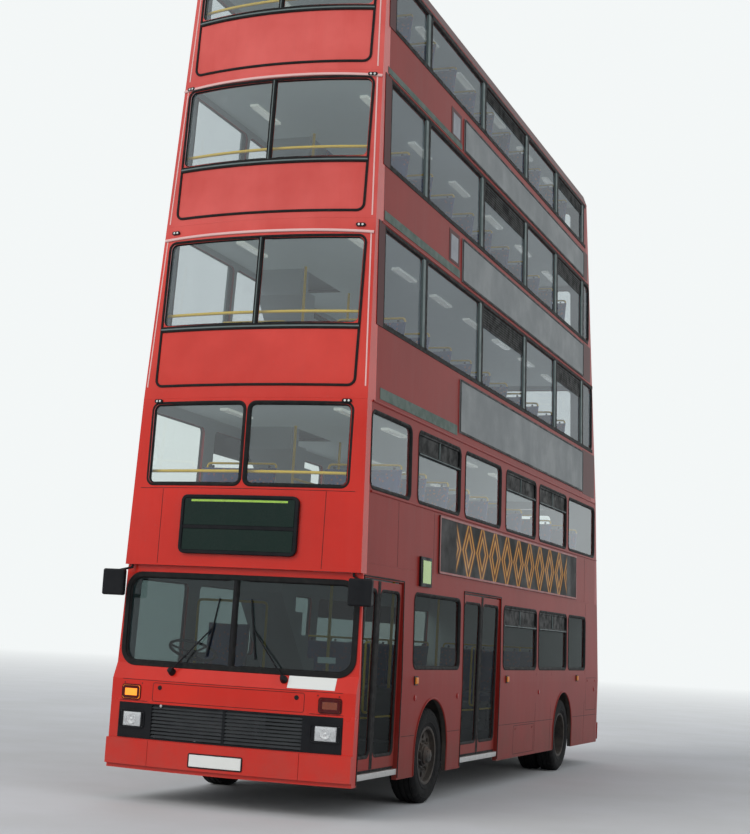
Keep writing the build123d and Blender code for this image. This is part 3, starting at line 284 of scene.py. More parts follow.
def rounded_outline(low_a, high_a, low_b, high_b, corner, steps, pitch):
    """Pairs along a rounded rectangle, with points along its straight runs too."""
    arcs = []
    centres = [(high_a - corner, high_b - corner), (low_a + corner, high_b - corner),
               (low_a + corner, low_b + corner), (high_a - corner, low_b + corner)]
    for number, (a, b) in enumerate(centres):
        turns = [math.radians(90 * number + 90 * s / steps) for s in range(steps + 1)]
        arcs.append([(a + corner * math.cos(turn), b + corner * math.sin(turn)) for turn in turns])
    pairs = []
    for arc, following in zip(arcs, arcs[1:] + arcs[:1]):
        (a1, b1), (a2, b2) = arc[-1], following[0]
        count = math.ceil(math.dist(arc[-1], following[0]) / pitch)
        pairs += arc + [(a1 + (a2 - a1) * i / count, b1 + (b2 - b1) * i / count) for i in range(1, count)]
    return pairs


def facing_out(spots):
    """The same loop, turned so that a sweep's across direction points outwards."""
    centre = sum((spot[0] for spot in spots), Vector()) / len(spots)
    total = 0
    for index, (place, normal) in enumerate(spots):
        along = spots[(index + 1) % len(spots)][0] - place
        total += along.cross(normal).dot(place - centre)
    return spots if total > 0 else spots[::-1]


def line(shape, find, points, profile, pitch=0.1, skin=0):
    """Moulding on a surface along points."""
    spots = []
    for (a1, b1), (a2, b2) in zip(points, points[1:]):
        count = max(1, math.ceil(math.hypot(a2 - a1, b2 - b1) / pitch))
        spots += [find(a1 + (a2 - a1) * i / count, b1 + (b2 - b1) * i / count) for i in range(count)]
    if points[0] == points[-1]:
        sweep(shape, facing_out(spots), profile, True, skin)
    else:
        sweep(shape, spots + [find(*points[-1])], profile, False, skin)


def rim(shape, find, outline, profile, skin=0):
    """Moulding round a rounded rectangle: low a, high a, low b, high b, corner, steps, pitch."""
    points = rounded_outline(*outline)
    line(shape, find, points + points[:1], profile, outline[-1], skin)


def slab(shape, corners, thick, soft=0.002, skin=0):
    """Plate with soft edges on four (place, normal) corners given in order."""
    centre = sum((place for place, normal in corners), Vector()) / 4
    points = []
    for height, pull in ((0, 0), (thick - soft, 0), (thick, soft)):
        for place, normal in corners:
            points.append(place + normal * height + (centre - place).normalized() * pull * 1.4)
    shape.add(points, [(3, 2, 1, 0), (8, 9, 10, 11)] + lattice(3, 4, False, True), skin)


def flat_plate(shape, find, low_x, high_x, low_z, high_z, thick, lift=0.0, soft=0.002, skin=0):
    """Plate on a side."""
    spots = ((low_x, low_z), (high_x, low_z), (high_x, high_z), (low_x, high_z))
    slab(shape, [find(x, z, lift) for x, z in spots], thick, soft, skin)


def bowed_plate(shape, find, low_y, high_y, low_z, high_z, thick, lift=0.0, soft=0.002):
    """Plate that follows the bowed front, or the back."""
    ys = steps_between(low_y, high_y, 0.15)
    levels = [(low_z, 0, 0), (low_z, thick - soft, 0), (low_z + soft, thick, soft),
              (high_z - soft, thick, soft), (high_z, thick - soft, 0), (high_z, 0, 0)]
    points = []
    for y in ys:
        for z, height, pull in levels:
            inward = pull if y == ys[0] else -pull if y == ys[-1] else 0
            place, normal = find(y + inward, z, lift)
            points.append(place + normal * height)
    size = len(levels)
    ends = [tuple(range(size)), tuple(range(len(points) - size, len(points)))]
    shape.add(points, ends + lattice(len(ys), size, False, True))


# Finishes

def shade(colour, share, more=0.0):
    return tuple(c * share + more for c in colour)


class Finish:
    """A procedural material, built up step by step."""

    def __init__(self, name, colour, rough, metal=0.0, coat=0.0, specular=0.5):
        self.material = bpy.data.materials.new(name)
        self.material.use_nodes = True
        self.tree = self.material.node_tree
        self.shader = self.tree.nodes["Principled BSDF"]
        self.output = self.tree.nodes["Material Output"]
        self.shader.inputs["Metallic"].default_value = metal
        self.shader.inputs["Coat Weight"].default_value = coat
        self.shader.inputs["Specular IOR Level"].default_value = specular
        self.colour = colour
        self.rough = rough
        self.heights = []
        self.place = self.add("ShaderNodeTexCoord").outputs["Object"]

    def add(self, kind, **settings):
        node = self.tree.nodes.new(kind)
        for key, value in settings.items():
            setattr(node, key, value)
        return node

    def put(self, value, socket):
        """Links an output to a socket, or sets a plain number or colour there."""
        if hasattr(value, "links"):
            self.tree.links.new(value, socket)
        else:
            socket.default_value = (*value, 1) if isinstance(value, tuple) else value

    def scaled(self, scale):
        node = self.add("ShaderNodeMapping")
        self.put(self.place, node.inputs["Vector"])
        node.inputs["Scale"].default_value = scale if isinstance(scale, tuple) else (scale,) * 3
        return node.outputs["Vector"]

    def noise(self, scale, detail=3.0, rough=0.6, low=0.35, high=0.65):
        """Noise from 0 to 1, steepened between two levels."""
        node = self.add("ShaderNodeTexNoise")
        self.put(self.scaled(scale), node.inputs["Vector"])
        node.inputs["Scale"].default_value = 1.0
        node.inputs["Detail"].default_value = detail
        node.inputs["Roughness"].default_value = rough
        return self.spread(node.outputs["Fac"], low, high)

    def spread(self, value, low, high, to_low=0.0, to_high=1.0):
        node = self.add("ShaderNodeMapRange")
        for number, item in enumerate((value, low, high, to_low, to_high)):
            self.put(item, node.inputs[number])
        return node.outputs["Result"]

    def along(self, axis):
        node = self.add("ShaderNodeSeparateXYZ")
        self.put(self.place, node.inputs["Vector"])
        return node.outputs[axis]

    def height(self, low, high):
        """Share of the way from one level to another."""
        return self.spread(self.along(2), low, high)

    def ripple(self, axis, pitch, zero):
        """Rises from 0 to 1 and falls back once in each pitch, with 0 at a place."""
        scaled = self.add("ShaderNodeMath", operation="MULTIPLY_ADD")
        for number, item in enumerate((self.along(axis), 2 / pitch, -2 * zero / pitch)):
            self.put(item, scaled.inputs[number])
        fold = self.add("ShaderNodeMath", operation="PINGPONG")
        self.put(scaled.outputs[0], fold.inputs[0])
        fold.inputs[1].default_value = 1.0
        return fold.outputs[0]

    def peak(self, value, centre, reach):
        """1 where a value is at a centre, falling to 0 on both sides of it."""
        rise = self.spread(value, centre - reach, centre)
        return self.times(rise, self.spread(value, centre, centre + reach, 1.0, 0.0))

    def maths(self, kind, first, second):
        node = self.add("ShaderNodeMath", operation=kind, use_clamp=True)
        self.put(first, node.inputs[0])
        self.put(second, node.inputs[1])
        return node.outputs[0]

    def times(self, first, second):
        return self.maths("MULTIPLY", first, second)

    def tint(self, colour, share, most=1.0):
        """Mixes a colour over what is there."""
        node = self.add("ShaderNodeMix", data_type="RGBA")
        self.put(share if most == 1.0 else self.times(share, most), node.inputs[0])
        self.put(self.colour, node.inputs[6])
        self.put(colour, node.inputs[7])
        self.colour = node.outputs[2]

    def roughen(self, value, share):
        """Moves roughness towards a value."""
        node = self.add("ShaderNodeMix", data_type="FLOAT")
        for number, item in ((0, share), (2, self.rough), (3, value)):
            self.put(item, node.inputs[number])
        self.rough = node.outputs[0]

    def bump(self, height, depth, strength=1.0):
        """Adds relief, in metres."""
        self.heights.append((height, depth, strength))

    def blend(self, share, first, second):
        """Mixes two shaders."""
        node = self.add("ShaderNodeMixShader")
        for number, item in enumerate((share, first.outputs[0], second.outputs[0])):
            self.put(item, node.inputs[number])
        return node

    def done(self):
        self.put(self.colour, self.shader.inputs["Base Color"])
        self.put(self.rough, self.shader.inputs["Roughness"])
        target = self.shader
        for height, depth, strength in reversed(self.heights):
            node = self.add("ShaderNodeBump")
            node.inputs["Strength"].default_value = strength
            node.inputs["Distance"].default_value = depth
            self.put(height, node.inputs["Height"])
            self.put(node.outputs["Normal"], target.inputs["Normal"])
            target = node
        return self.material


def paint(name, colour, dust, dull=0.0, gloss=0.3, highlight_bands=()):
    """Coach paint: gentle panel waves, washed-out patches, rain streaks and road dirt low down; the height
    bands make it paler upwards, a painted highlight.
    """
    f = Finish(name, colour, 0.26 + dull * 0.2, coat=gloss * 0.3, specular=gloss)
    # Paler colour from one level to another: a painted highlight of the sky on the upper paint
    for pale, low_z, high_z in highlight_bands:
        f.tint(pale, f.height(low_z, high_z))
    f.tint(shade(colour, 0.72), f.noise(0.9, 4), 0.5)
    f.tint(shade(colour, 0.9, 0.02), f.noise((5, 5, 0.5), 5, 0.7, 0.5, 0.75), 0.25 + dull * 0.4)
    f.tint((0.16, 0.1, 0.085), f.noise((9, 9, 0.8), 5, 0.7, 0.5, 0.85), dust * 0.3)
    low_dirt = f.times(f.height(1.05, 0.3), f.noise(2.5, 6, 0.7, 0.25, 0.8))
    f.tint((0.13, 0.1, 0.08), low_dirt, 0.35 + dust * 0.5)
    f.tint((0.16, 0.11, 0.09), f.noise(70, 2, 0.5, 0.68, 0.78), 0.25 + dust * 0.3)
    f.roughen(0.55, f.maths("ADD", f.times(low_dirt, 0.6), dull * 0.5))
    f.bump(f.noise(0.8, 2, 0.4, 0.2, 0.8), 0.02, 0.25)
    f.bump(f.noise(420, 2, 0.5, 0.3, 0.7), 0.0002, 0.15)
    return f.done()


def rubber(name, colour, rough):
    f = Finish(name, colour, rough, specular=0.15)
    f.tint((0.035, 0.032, 0.03), f.noise(14, 5, 0.7, 0.5, 0.75), 0.5)
    f.roughen(0.85, f.noise(25, 4, 0.6, 0.4, 0.7))
    f.bump(f.noise(350, 3), 0.0004, 0.3)
    return f.done()


def plastic(name, colour, rough=0.35, dust=0.3, grain=500, specular=0.2):
    f = Finish(name, colour, rough, specular=specular)
    f.tint(shade(colour, 0.75, 0.03), f.noise(4, 5, 0.7, 0.45, 0.8), dust)
    f.roughen(min(rough + 0.3, 0.9), f.noise(9, 5, 0.6, 0.4, 0.7))
    f.bump(f.noise(grain, 2), 0.0003, 0.25)
    return f.done()


def bare_metal(name, colour, rough=0.35):
    f = Finish(name, colour, rough, metal=1.0)
    f.tint(shade(colour, 0.55), f.noise(12, 5, 0.7, 0.5, 0.8), 0.5)
    f.roughen(0.65, f.noise(30, 5, 0.6, 0.5, 0.75))
    f.bump(f.noise((300, 3, 3), 3), 0.0002, 0.2)
    return f.done()


def casting(name, colour, rust):
    """Dirty iron with rust and road film."""
    f = Finish(name, colour, 0.6)
    f.tint((0.11, 0.045, 0.02), f.noise(7, 6, 0.7, 0.5, 0.7), rust)
    f.tint((0.16, 0.13, 0.1), f.noise(3, 6, 0.7, 0.4, 0.8), 0.5)
    f.roughen(0.9, f.noise(11, 5))
    f.bump(f.noise(60, 6, 0.7), 0.002, 0.5)
    return f.done()


def glazing(name, tint, dirt, film, gloss):
    """Flat safety glass: clear with a tint, sharp reflections on the way in, and a pale layer that is noisy
    dirt plus an even film of painted sky reflection.
    """
    f = Finish(name, (0.93, 0.97, 1.0), 0.015, metal=1.0)
    f.done()
    clear = f.add("ShaderNodeBsdfTransparent")
    f.put(tint, clear.inputs["Color"])
    # Pale diffuse layer: where the noise puts it, it is dirt; the even film share is a painted reflection of
    # the sky
    pale_dirt_and_sky_layer = f.add("ShaderNodeBsdfDiffuse")
    f.put((0.5, 0.53, 0.54), pale_dirt_and_sky_layer.inputs["Color"])
    weight = f.add("ShaderNodeFresnel")
    weight.inputs["IOR"].default_value = 1.5
    entering = f.maths("SUBTRACT", 1, f.add("ShaderNodeNewGeometry").outputs["Backfacing"])
    shine = f.blend(f.times(f.times(weight.outputs[0], entering), gloss), clear, f.shader)
    dirt_and_painted_sky = f.maths("ADD", f.times(f.noise((1.2, 1.2, 0.8), 4, 0.6, 0.3, 0.9), dirt), film)
    f.put(f.blend(dirt_and_painted_sky, shine, pale_dirt_and_sky_layer).outputs[0], f.output.inputs["Surface"])
    return f.material


def texture(f, kind, scale, **settings):
    """A pattern node at a scale."""
    node = f.add(kind, **settings)
    f.put(f.scaled(scale), node.inputs["Vector"])
    return node


def moquette(name):
    """Woven seat cloth with small flecks."""
    f = Finish(name, (0.02, 0.045, 0.16), 0.9, specular=0.2)
    f.shader.inputs["Sheen Weight"].default_value = 0.4
    fleck = texture(f, "ShaderNodeTexVoronoi", 26, feature="F1")
    fleck.inputs["Scale"].default_value = 1.0
    f.tint((0.35, 0.03, 0.03), f.spread(fleck.outputs["Distance"], 0.3, 0.22))
    f.tint((0.4, 0.27, 0.05), f.spread(fleck.outputs["Distance"], 0.14, 0.1))
    f.tint((0.06, 0.06, 0.08), f.noise(5, 5), 0.4)
    weave = texture(f, "ShaderNodeTexWave", 1, wave_type="BANDS", bands_direction="DIAGONAL")
    weave.inputs["Scale"].default_value = 160
    f.bump(weave.outputs["Fac"], 0.0008, 0.4)
    return f.done()


def floor_cover(name, colour):
    f = Finish(name, colour, 0.6)
    f.tint(shade(colour, 0.5), f.noise(6, 6, 0.7))
    f.tint((0.3, 0.28, 0.25), f.noise(180, 2, 0.5, 0.6, 0.7), 0.4)
    studs = texture(f, "ShaderNodeTexVoronoi", 40, feature="F1")
    f.bump(f.spread(studs.outputs["Distance"], 0.35, 0.2), 0.001, 0.4)
    return f.done()


def sign_board(name, colour, warm=0.0):
    """Plain printed panel; with warm, a dark ground with a soft golden lattice."""
    f = Finish(name, colour, 0.4, specular=0.15)
    middle_x = -0.37
    middle_z = 2.65
    if warm:
        lozenge = f.maths("ADD", f.times(f.ripple(0, 0.52, middle_x), 0.5),
                          f.times(f.ripple(2, 0.78, middle_z), 0.5))
        for ring in (0.24, 0.42):
            f.tint((0.55, 0.16, 0.012), f.peak(lozenge, ring, 0.1), warm * 0.8)
            f.tint((0.85, 0.5, 0.12), f.peak(lozenge, ring, 0.04), warm)
        f.tint((0.02, 0.02, 0.02), f.spread(f.ripple(2, 1.22, middle_z), 0.72, 0.8))
        f.tint((0.02, 0.02, 0.02), f.spread(f.ripple(0, 12.44, middle_x), 0.4, 0.41))
    f.tint(shade(colour, 0.7, 0.01), f.noise((4, 4, 0.6), 6, 0.7, 0.45, 0.8), 0.3)
    f.tint((0.1, 0.085, 0.07), f.noise(50, 3, 0.6, 0.62, 0.75), 0.3)
    f.roughen(0.65, f.noise(3, 5))
    f.bump(f.noise(1.2, 2), 0.006, 0.2)
    return f.done()


def glow_on(shader, colour, strength):
    shader.inputs["Emission Color"].default_value = (*colour, 1)
    shader.inputs["Emission Strength"].default_value = strength


def lens(name, colour, glow=0.0):
    """Moulded lamp lens with ribs."""
    f = Finish(name, colour, 0.12, coat=0.6)
    f.shader.inputs["Transmission Weight"].default_value = 0.35
    ribs = texture(f, "ShaderNodeTexWave", 1, wave_type="BANDS", bands_direction="Y")
    ribs.inputs["Scale"].default_value = 22
    f.bump(ribs.outputs["Fac"], 0.002, 0.5)
    f.tint(shade(colour, 0.5), f.noise(40, 3), 0.3)
    if glow:
        glow_on(f.shader, colour, glow)
    return f.done()


# columns: maker, then rows of name, colour and what else that maker takes
makers = [
    (paint, [
        # The side red is red_front's red at about half the brightness, with more dust: painted shade on the
        # sides, plus dirt
        ("red_front", (0.57, 0.02, 0.01), 0.15), ("red_side", (0.27, 0.02, 0.015), 0.5, 0.35, 0.08),
        # The upper front red is red_front's red made paler and pinker from z 3.6 to 5.7: a painted highlight
        # of the sky
        ("red_upper", (0.57, 0.02, 0.01), 0.15, 0, 0.3,
         [((0.64, 0.05, 0.035), 3.6, 4.1), ((0.66, 0.1, 0.085), 5.1, 5.7)]),
        ("red_rear", (0.36, 0.014, 0.01), 0.35, 0.35, 0.2), ("red_deep", (0.07, 0.008, 0.009), 0.3, 0.5, 0.1),
    ]),
    (rubber, [("window_rubber", (0.012, 0.012, 0.012), 0.55), ("tyre_rubber", (0.009, 0.009, 0.0095), 0.75)]),
    (bare_metal, [("aluminium", (0.62, 0.62, 0.61)), ("polished", (0.8, 0.8, 0.8), 0.12)]),
    (glazing, [
        # columns: name, tint, dirt, film that paints the sky's reflection, gloss
        ("side_glass", (0.93, 0.955, 0.95), 0.03, 0.01, 1.1),
        ("upper_glass", (0.79, 0.81, 0.83), 0.05, 0.04, 0.55),
        ("lower_glass", (0.56, 0.6, 0.59), 0.03, 0.004, 0.17),
        ("front_screen", (0.92, 0.945, 0.935), 0.02, 0.005, 2.4),
        ("windscreen_glass", (0.5, 0.57, 0.57), 0.015, 0.002, 0.9),
    ]),
    (casting, [
        ("cast_dark", (0.05, 0.048, 0.045), 0.6), ("chassis_paint", (0.025, 0.024, 0.023), 0.3),
        ("engine_cast", (0.16, 0.17, 0.16), 0.3), ("wheel_paint", (0.018, 0.016, 0.016), 0.15),
    ]),
    (moquette, [("seat_cloth",)]),
    (floor_cover, [("floor_grey", (0.09, 0.085, 0.08)), ("step_grey", (0.25, 0.25, 0.24))]),
    (sign_board, [("panel_dark", (0.012, 0.014, 0.014), 0.9), ("panel_grey", (0.23, 0.245, 0.245))]),
    (lens, [
        ("lamp_strip", (0.75, 0.78, 0.74), 0.2), ("clear_lens", (0.8, 0.82, 0.82)),
        ("amber_lens", (0.28, 0.05, 0.012)), ("amber_lit", (0.95, 0.3, 0.02), 0.8),
        ("red_lens", (0.5, 0.012, 0.01)), ("lime_light", (0.3, 0.5, 0.05), 0.25),
    ]),
    (plastic, [
        # The pale pink finish of the drips also paints the highlight strips on the front corners
        ("corner_pale", (0.72, 0.45, 0.42), 0.35, 0.1), ("black_trim", (0.006, 0.0065, 0.008), 0.4, 0.1),
        ("black_metal", (0.012, 0.012, 0.013), 0.5, 0.2), ("rail_yellow", (0.78, 0.5, 0.03), 0.3, 0.1),
        ("cream", (0.6, 0.62, 0.6), 0.45, 0.2, 120), ("lining", (0.4, 0.44, 0.45), 0.6, 0.2, 150),
        ("ceiling", (0.52, 0.57, 0.58), 0.55, 0.15, 150), ("green_band", (0.085, 0.12, 0.1), 0.45, 0.2),
        ("frame_grey", (0.14, 0.175, 0.17), 0.4, 0.2), ("poster_grey", (0.3, 0.31, 0.33), 0.4, 0.2),
        ("moulding_pink", (0.36, 0.15, 0.14), 0.35, 0.2), ("marker_amber", (0.7, 0.22, 0.02), 0.25, 0.1),
        ("reflector_red", (0.3, 0.012, 0.01), 0.2, 0.1), ("cab_blue", (0.06, 0.16, 0.4), 0.5, 0.1),
        ("grey_plastic", (0.2, 0.2, 0.2), 0.5, 0.3), ("white_plate", (0.7, 0.7, 0.66), 0.3, 0.2),
        # The grille's slat tops are painted lighter as a highlight, and the slat undersides darker as shade
        ("slat_edge", (0.026, 0.028, 0.03), 0.4, 0.2), ("slat_gap", (0.002, 0.002, 0.002), 0.8, 0.05),
        ("vent_black", (0.003, 0.0035, 0.004), 0.3, 0.05, 4, 0.05),
        ("screen_green", (0.005, 0.016, 0.012), 0.2, 0.05),
    ]),
]
finishes = {row[0]: maker(*row) for maker, rows in makers for row in rows}
# The ceiling glows faintly though it is no lamp: painted light that brightens the saloons
glow_on(finishes["ceiling"].node_tree.nodes["Principled BSDF"], (0.8, 1.0, 1.0), 0.05)

# The red_paint slot takes the side red, which carries painted shade
slot_looks = {
    "red_paint": "red_side", "chassis_black": "chassis_paint", "axle_steel": "cast_dark",
    "trim_black": "black_trim", "glass": "side_glass", "tyre": "tyre_rubber", "seat_fabric": "seat_cloth",
    "stair_grey": "step_grey", "engine_grey": "engine_cast", "lamp_glass": "clear_lens",
}
node_looks = {
    "lower_front": "red_front", "upper_front": "red_upper", "front_bumper": "red_front",
    "lower_rear": "red_rear", "upper_rear": "red_rear", "rear_bumper": "red_rear", "engine_cover": "red_rear",
    "emergency_exit": "red_rear", "roof": "red_deep", "engine_bulkhead": "cream",
    "windscreen": "windscreen_glass", "front_glass": "front_screen", "rear_glass": "front_screen",
}
for part in frame["record"]["subparts"]:
    look = node_looks.get(part["node"], slot_looks.get(part["material_slot"], part["material_slot"]))
    if "_leaf_" in part["node"] and part["node"].endswith("_glass"):
        look = "lower_glass"
    mesh = nodes[part["node"]].data
    mesh.materials.clear()
    mesh.materials.append(finishes[look])


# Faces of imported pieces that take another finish, by their place and the way they face

def repaint(mesh, looks, choose):
    """Adds finishes to a mesh; choose gives a face's number from its centre and normal."""
    for look in looks.split():
        mesh.materials.append(finishes[look])
    for face in mesh.polygons:
        face.material_index = choose(face.center, face.normal)


def side_look(place, facing):
    """Numbers of the outer red, the lining, and the black in the wheel arches."""
    if facing.y * place.y < -0.3:
        return 1
    across = min(abs(place.x - front_axle_x), abs(place.x - rear_axle_x))
    in_arch = math.hypot(across, max(0, place.z - arch_centre_z)) < 0.56
    return 2 if in_arch and abs(facing.y) < 0.3 and place.z < waist_z else 0


def end_look(place, facing):
    """Numbers of the outer red and the lining."""
    inner = abs(facing.x) > 0.3 and facing.x * place.x < 0
    returned = facing.y * place.y < -0.2 and abs(facing.x) < 0.98
    return int(inner or returned)


def grille_look(place, facing):
    """Numbers of the black panel, the slat tops with a painted highlight and the slat undersides with painted
    shade.
    """
    if abs(place.y) > 0.82 or not 0.61 < place.z < 0.905:
        return 0
    return 1 if facing.z > 0.3 else 2 if facing.z < -0.3 else 0


def glass_look(place, facing):
    return 1 if place.z > deck_3_seam_z else 2 if place.z < cantrail_z else 0


headlamp_y = 0.99
headlamp_z = 0.76
lens_half_y = 0.1
lens_half_z = 0.064
arch_centre_z = 0.535


def lamp_look(place, facing):
    """Numbers of black, clear, amber and lit amber."""
    if place.z > 1.2:
        return 0
    if place.z > 0.94:
        return 3 if place.y < 0 else 2
    near = abs(abs(place.y) - headlamp_y) < 0.126 and abs(place.z - headlamp_z) < 0.066
    return int(near and facing.x > 0.5)


nodes["front_lamps"].data.materials.clear()
nodes["rear_lamps"].data.materials.clear()
# columns: nodes, added finishes, rule
for names, looks, choose in (
        ("lower_nearside lower_offside upper_nearside upper_offside", "lining chassis_paint", side_look),
        ("lower_front lower_rear upper_front upper_rear emergency_exit engine_cover", "lining", end_look),
        ("stairs", "lining", lambda place, facing: int(facing.z <= 0.5)),
        ("deck_floors", "ceiling", lambda place, facing: int(facing.z < -0.5)),
        ("roof", "ceiling", lambda place, facing: int(facing.z < -0.2 and abs(place.y) < 1.02)),
        ("nearside_glass offside_glass", "upper_glass lower_glass", glass_look),
        # Slat tops take a painted highlight and slat undersides painted shade
        ("front_grille", "slat_edge slat_gap", grille_look),
        ("front_lamps", "black_trim clear_lens amber_lens amber_lit", lamp_look),
        ("rear_lamps", "red_lens amber_lens clear_lens",
         lambda place, facing: 0 if place.z < 0.79 else 1 if place.z < 0.95 else 2)):
    for name in names.split():
        repaint(nodes[name].data, looks, choose)


# Window rubbers, run round the outer edge of every pane

def pane_outlines(node, facing):
    """Loops of (place, normal) round the outer faces of the panes of a node."""
    work = bmesh.new()
    work.from_mesh(nodes[node].data)
    bmesh.ops.remove_doubles(work, verts=work.verts, dist=0.00002)
    facing = Vector(facing)
    outer = {face for face in work.faces if face.normal.dot(facing) > 0.6}
    edges = [edge for edge in work.edges if sum(face in outer for face in edge.link_faces) == 1]
    links = {}
    for edge in edges:
        for vertex in edge.verts:
            links.setdefault(vertex, []).append(edge)
    loops = []
    left = set(edges)
    for edge in edges:
        if edge not in left:
            continue
        left.discard(edge)
        start, here = edge.verts
        loop = [start, here]
        while here is not start:
            options = [other for other in links[here] if other in left]
            if not options:
                break
            left.discard(options[0])
            here = options[0].other_vert(here)
            if here is not start:
                loop.append(here)
        spots = []
        for vertex in loop:
            normal = sum((face.normal for face in vertex.link_faces if face in outer), Vector()).normalized()
            spots.append((vertex.co.copy(), normal))
        loops.append(thinned(facing_out(spots)))
    work.free()
    return loops


def thinned(spots, least=0.006):
    """Loop without points that crowd each other."""
    kept = [spots[0]]
    for spot in spots[1:]:
        if (spot[0] - kept[-1][0]).length > least:
            kept.append(spot)
    return kept


thin_profile = [(-0.01, 0.0006), (-0.01, 0.006), (0.0, 0.0195), (0.004, 0.0222), (0.026, 0.0222),
                (0.029, 0.0203), (0.002, 0.0203), (-0.0002, 0.004)]
rubber_profile = [(-0.014, 0.0006), (-0.014, 0.008), (-0.006, 0.016), (0.004, 0.025), (0.016, 0.0265),
                  (0.024, 0.0235), (0.027, 0.0203), (0.002, 0.0203), (-0.0002, 0.004)]
leaf_profile = [(-0.012, 0.0004), (-0.012, 0.006), (-0.004, 0.012), (0.006, 0.0165), (0.014, 0.0165),
                (0.018, 0.0145), (0.001, 0.0145), (-0.0002, 0.003)]
# columns: name of the glass without its last word, way it faces, body
glazed = [
    ("nearside", (0, 1, 0), "body"),
    ("offside", (0, -1, 0), "body"),
    ("front", AHEAD, "body"),
    ("rear", (-1, 0, 0), "body"),
    ("windscreen", AHEAD, "body"),
    ("emergency_exit", (-1, 0, 0), "emergency_exit"),
    ("entrance_leaf_front", (0, 1, 0), "entrance_front_leaf"),
    ("entrance_leaf_rear", (0, 1, 0), "entrance_rear_leaf"),
    ("exit_leaf_front", (0, 1, 0), "exit_front_leaf"),
    ("exit_leaf_rear", (0, 1, 0), "exit_rear_leaf"),
]
for name, facing, body in glazed:
    rubbers = Shape()
    for loop in pane_outlines(name if name == "windscreen" else name + "_glass", facing):
        flush = sum(spot[0].z for spot in loop) / len(loop) > deck_3_seam_z
        fixed = thin_profile if flush else rubber_profile
        sweep(rubbers, loop, fixed if body == "body" else leaf_profile, True)
    rubbers.make(name + "_rubber", "window_rubber", "trim_black", body, 50)

# Fronts of the added decks: black line round window and panel, sill band, drip moulding and upright
trim = Shape()
# columns: half width of the window, sill z, window top z, panel foot z
for half, sill, head, foot in ((1.03, 4.56, 5.40, 3.955), (0.985, 6.215, 7.01, 5.665),
                               (0.935, 7.79, 8.20, 7.19)):
    edge = half + 0.016
    rim(trim, front, (-edge, edge, foot, head + 0.016, 0.07, 5, 0.12), flat_profile(0.024, 0.011))
    sill_line = [(-edge, sill - 0.036), (edge, sill - 0.036)]
    upright = [(0.0, sill - 0.012), (0.0, head + 0.012)]
    for points, wide, high, skin in ((sill_line, 0.056, 0.014, 0), (sill_line, 0.02, 0.0165, 1),
                                     (upright, 0.044, 0.008, 0), (upright, 0.01, 0.012, 1)):
        line(trim, front, points, flat_profile(wide, high), 0.1, skin)
trim.make("added_front_frames", "window_rubber frame_grey")
# Pale drip mouldings over the windows, and thin pale strips down the front corners that are a painted
# highlight
drips_and_highlights = Shape()
for z, reach_y in ((5.47, 1.115), (7.06, 1.075)):
    bow = [(y, z - 0.02 * (abs(y) / reach_y) ** 3) for y in steps_between(-reach_y, reach_y, 0.1)]
    line(drips_and_highlights, front, bow, flat_profile(0.026, 0.014))
# columns: low z, top z, and the y at the foot and at the top of a thin pale strip on the corner, which is a
# painted highlight of the rounded corner
for low_z, high_z, low_y, high_y in ((3.95, 5.44, 1.15, 1.09), (5.62, 7.03, 1.085, 1.03),
                                     (7.14, 8.2, 1.025, 0.99)):
    up_z = high_z - low_z
    for side in SIDES:
        points = [(side * (low_y + (high_y - low_y) * i / 6), low_z + up_z * i / 6) for i in range(7)]
        line(drips_and_highlights, front, points, flat_profile(0.014, 0.003))
drips_and_highlights.make("drip_mouldings_and_corner_highlights", "corner_pale", "red_paint")
dots = Shape()
for z in (3.806, 5.520, 7.052):
    for side in SIDES:
        for shift in (-0.018, 0.018):
            dome(dots, *lamp_face(side * 0.99 + shift, z), 0.011, 0.006, 14)
dots.make("marker_lamp_lenses", "white_plate", "lamp_glass")
screen_trim = Shape()
line(screen_trim, front, [(0.0, 1.302), (0.0, 2.102)], flat_profile(0.044, 0.006))
line(screen_trim, front, [(0.0, 1.306), (0.0, 2.098)], flat_profile(0.02, 0.012), 0.1, 1)
rim(screen_trim, front, (-1.187, 1.187, 1.281, 2.124, 0.15, 7, 0.12), flat_profile(0.05, 0.015))
screen_trim.make("windscreen_upright", "window_rubber black_metal")

# Panel joints and locks of the front
joints = Shape()
for run in ([(-1.12, 2.957), (1.12, 2.957)], [(-0.85, 2.235), (-0.85, 2.95)], [(0.85, 2.235), (0.85, 2.95)],
            [(-1.13, 1.128), (1.13, 1.128)], [(-1.145, 0.93), (-0.83, 0.93)], [(0.83, 0.93), (1.145, 0.93)]):
    line(joints, front, run, seam_profile)
rim(joints, front, (-0.775, 0.775, 0.937, 1.108, 0.02, 3, 0.12), seam_profile)
joints.make("front_joints", "window_rubber")
fasteners = Shape()
quarter_turn = [(0, 0.022), (0.004, 0.021), (0.005, 0.016), (0.0035, 0.015), (0.004, 0.0001)]
for y in (-0.70, 0.70):
    place, normal = front(y, 1.065)
    lathe(fasteners, place, normal, quarter_turn, 24)
    dome(fasteners, place + normal * 0.003, normal, 0.008, 0.004)
for y in (-1.1, -0.9, 0.9, 1.1):
    dome(fasteners, *front(y, 1.095), 0.007, 0.003)
fasteners.make("front_fasteners", "black_metal")
lock = Shape()
lathe(lock, *finder(AHEAD, wall_tree("front_grille"))(-0.67, 0.898),
      [(0, 0.014), (0.003, 0.0135), (0.004, 0.01), (0.003, 0.0095), (0.0035, 0.0001)], 20)
lock.make("grille_lock", "aluminium")

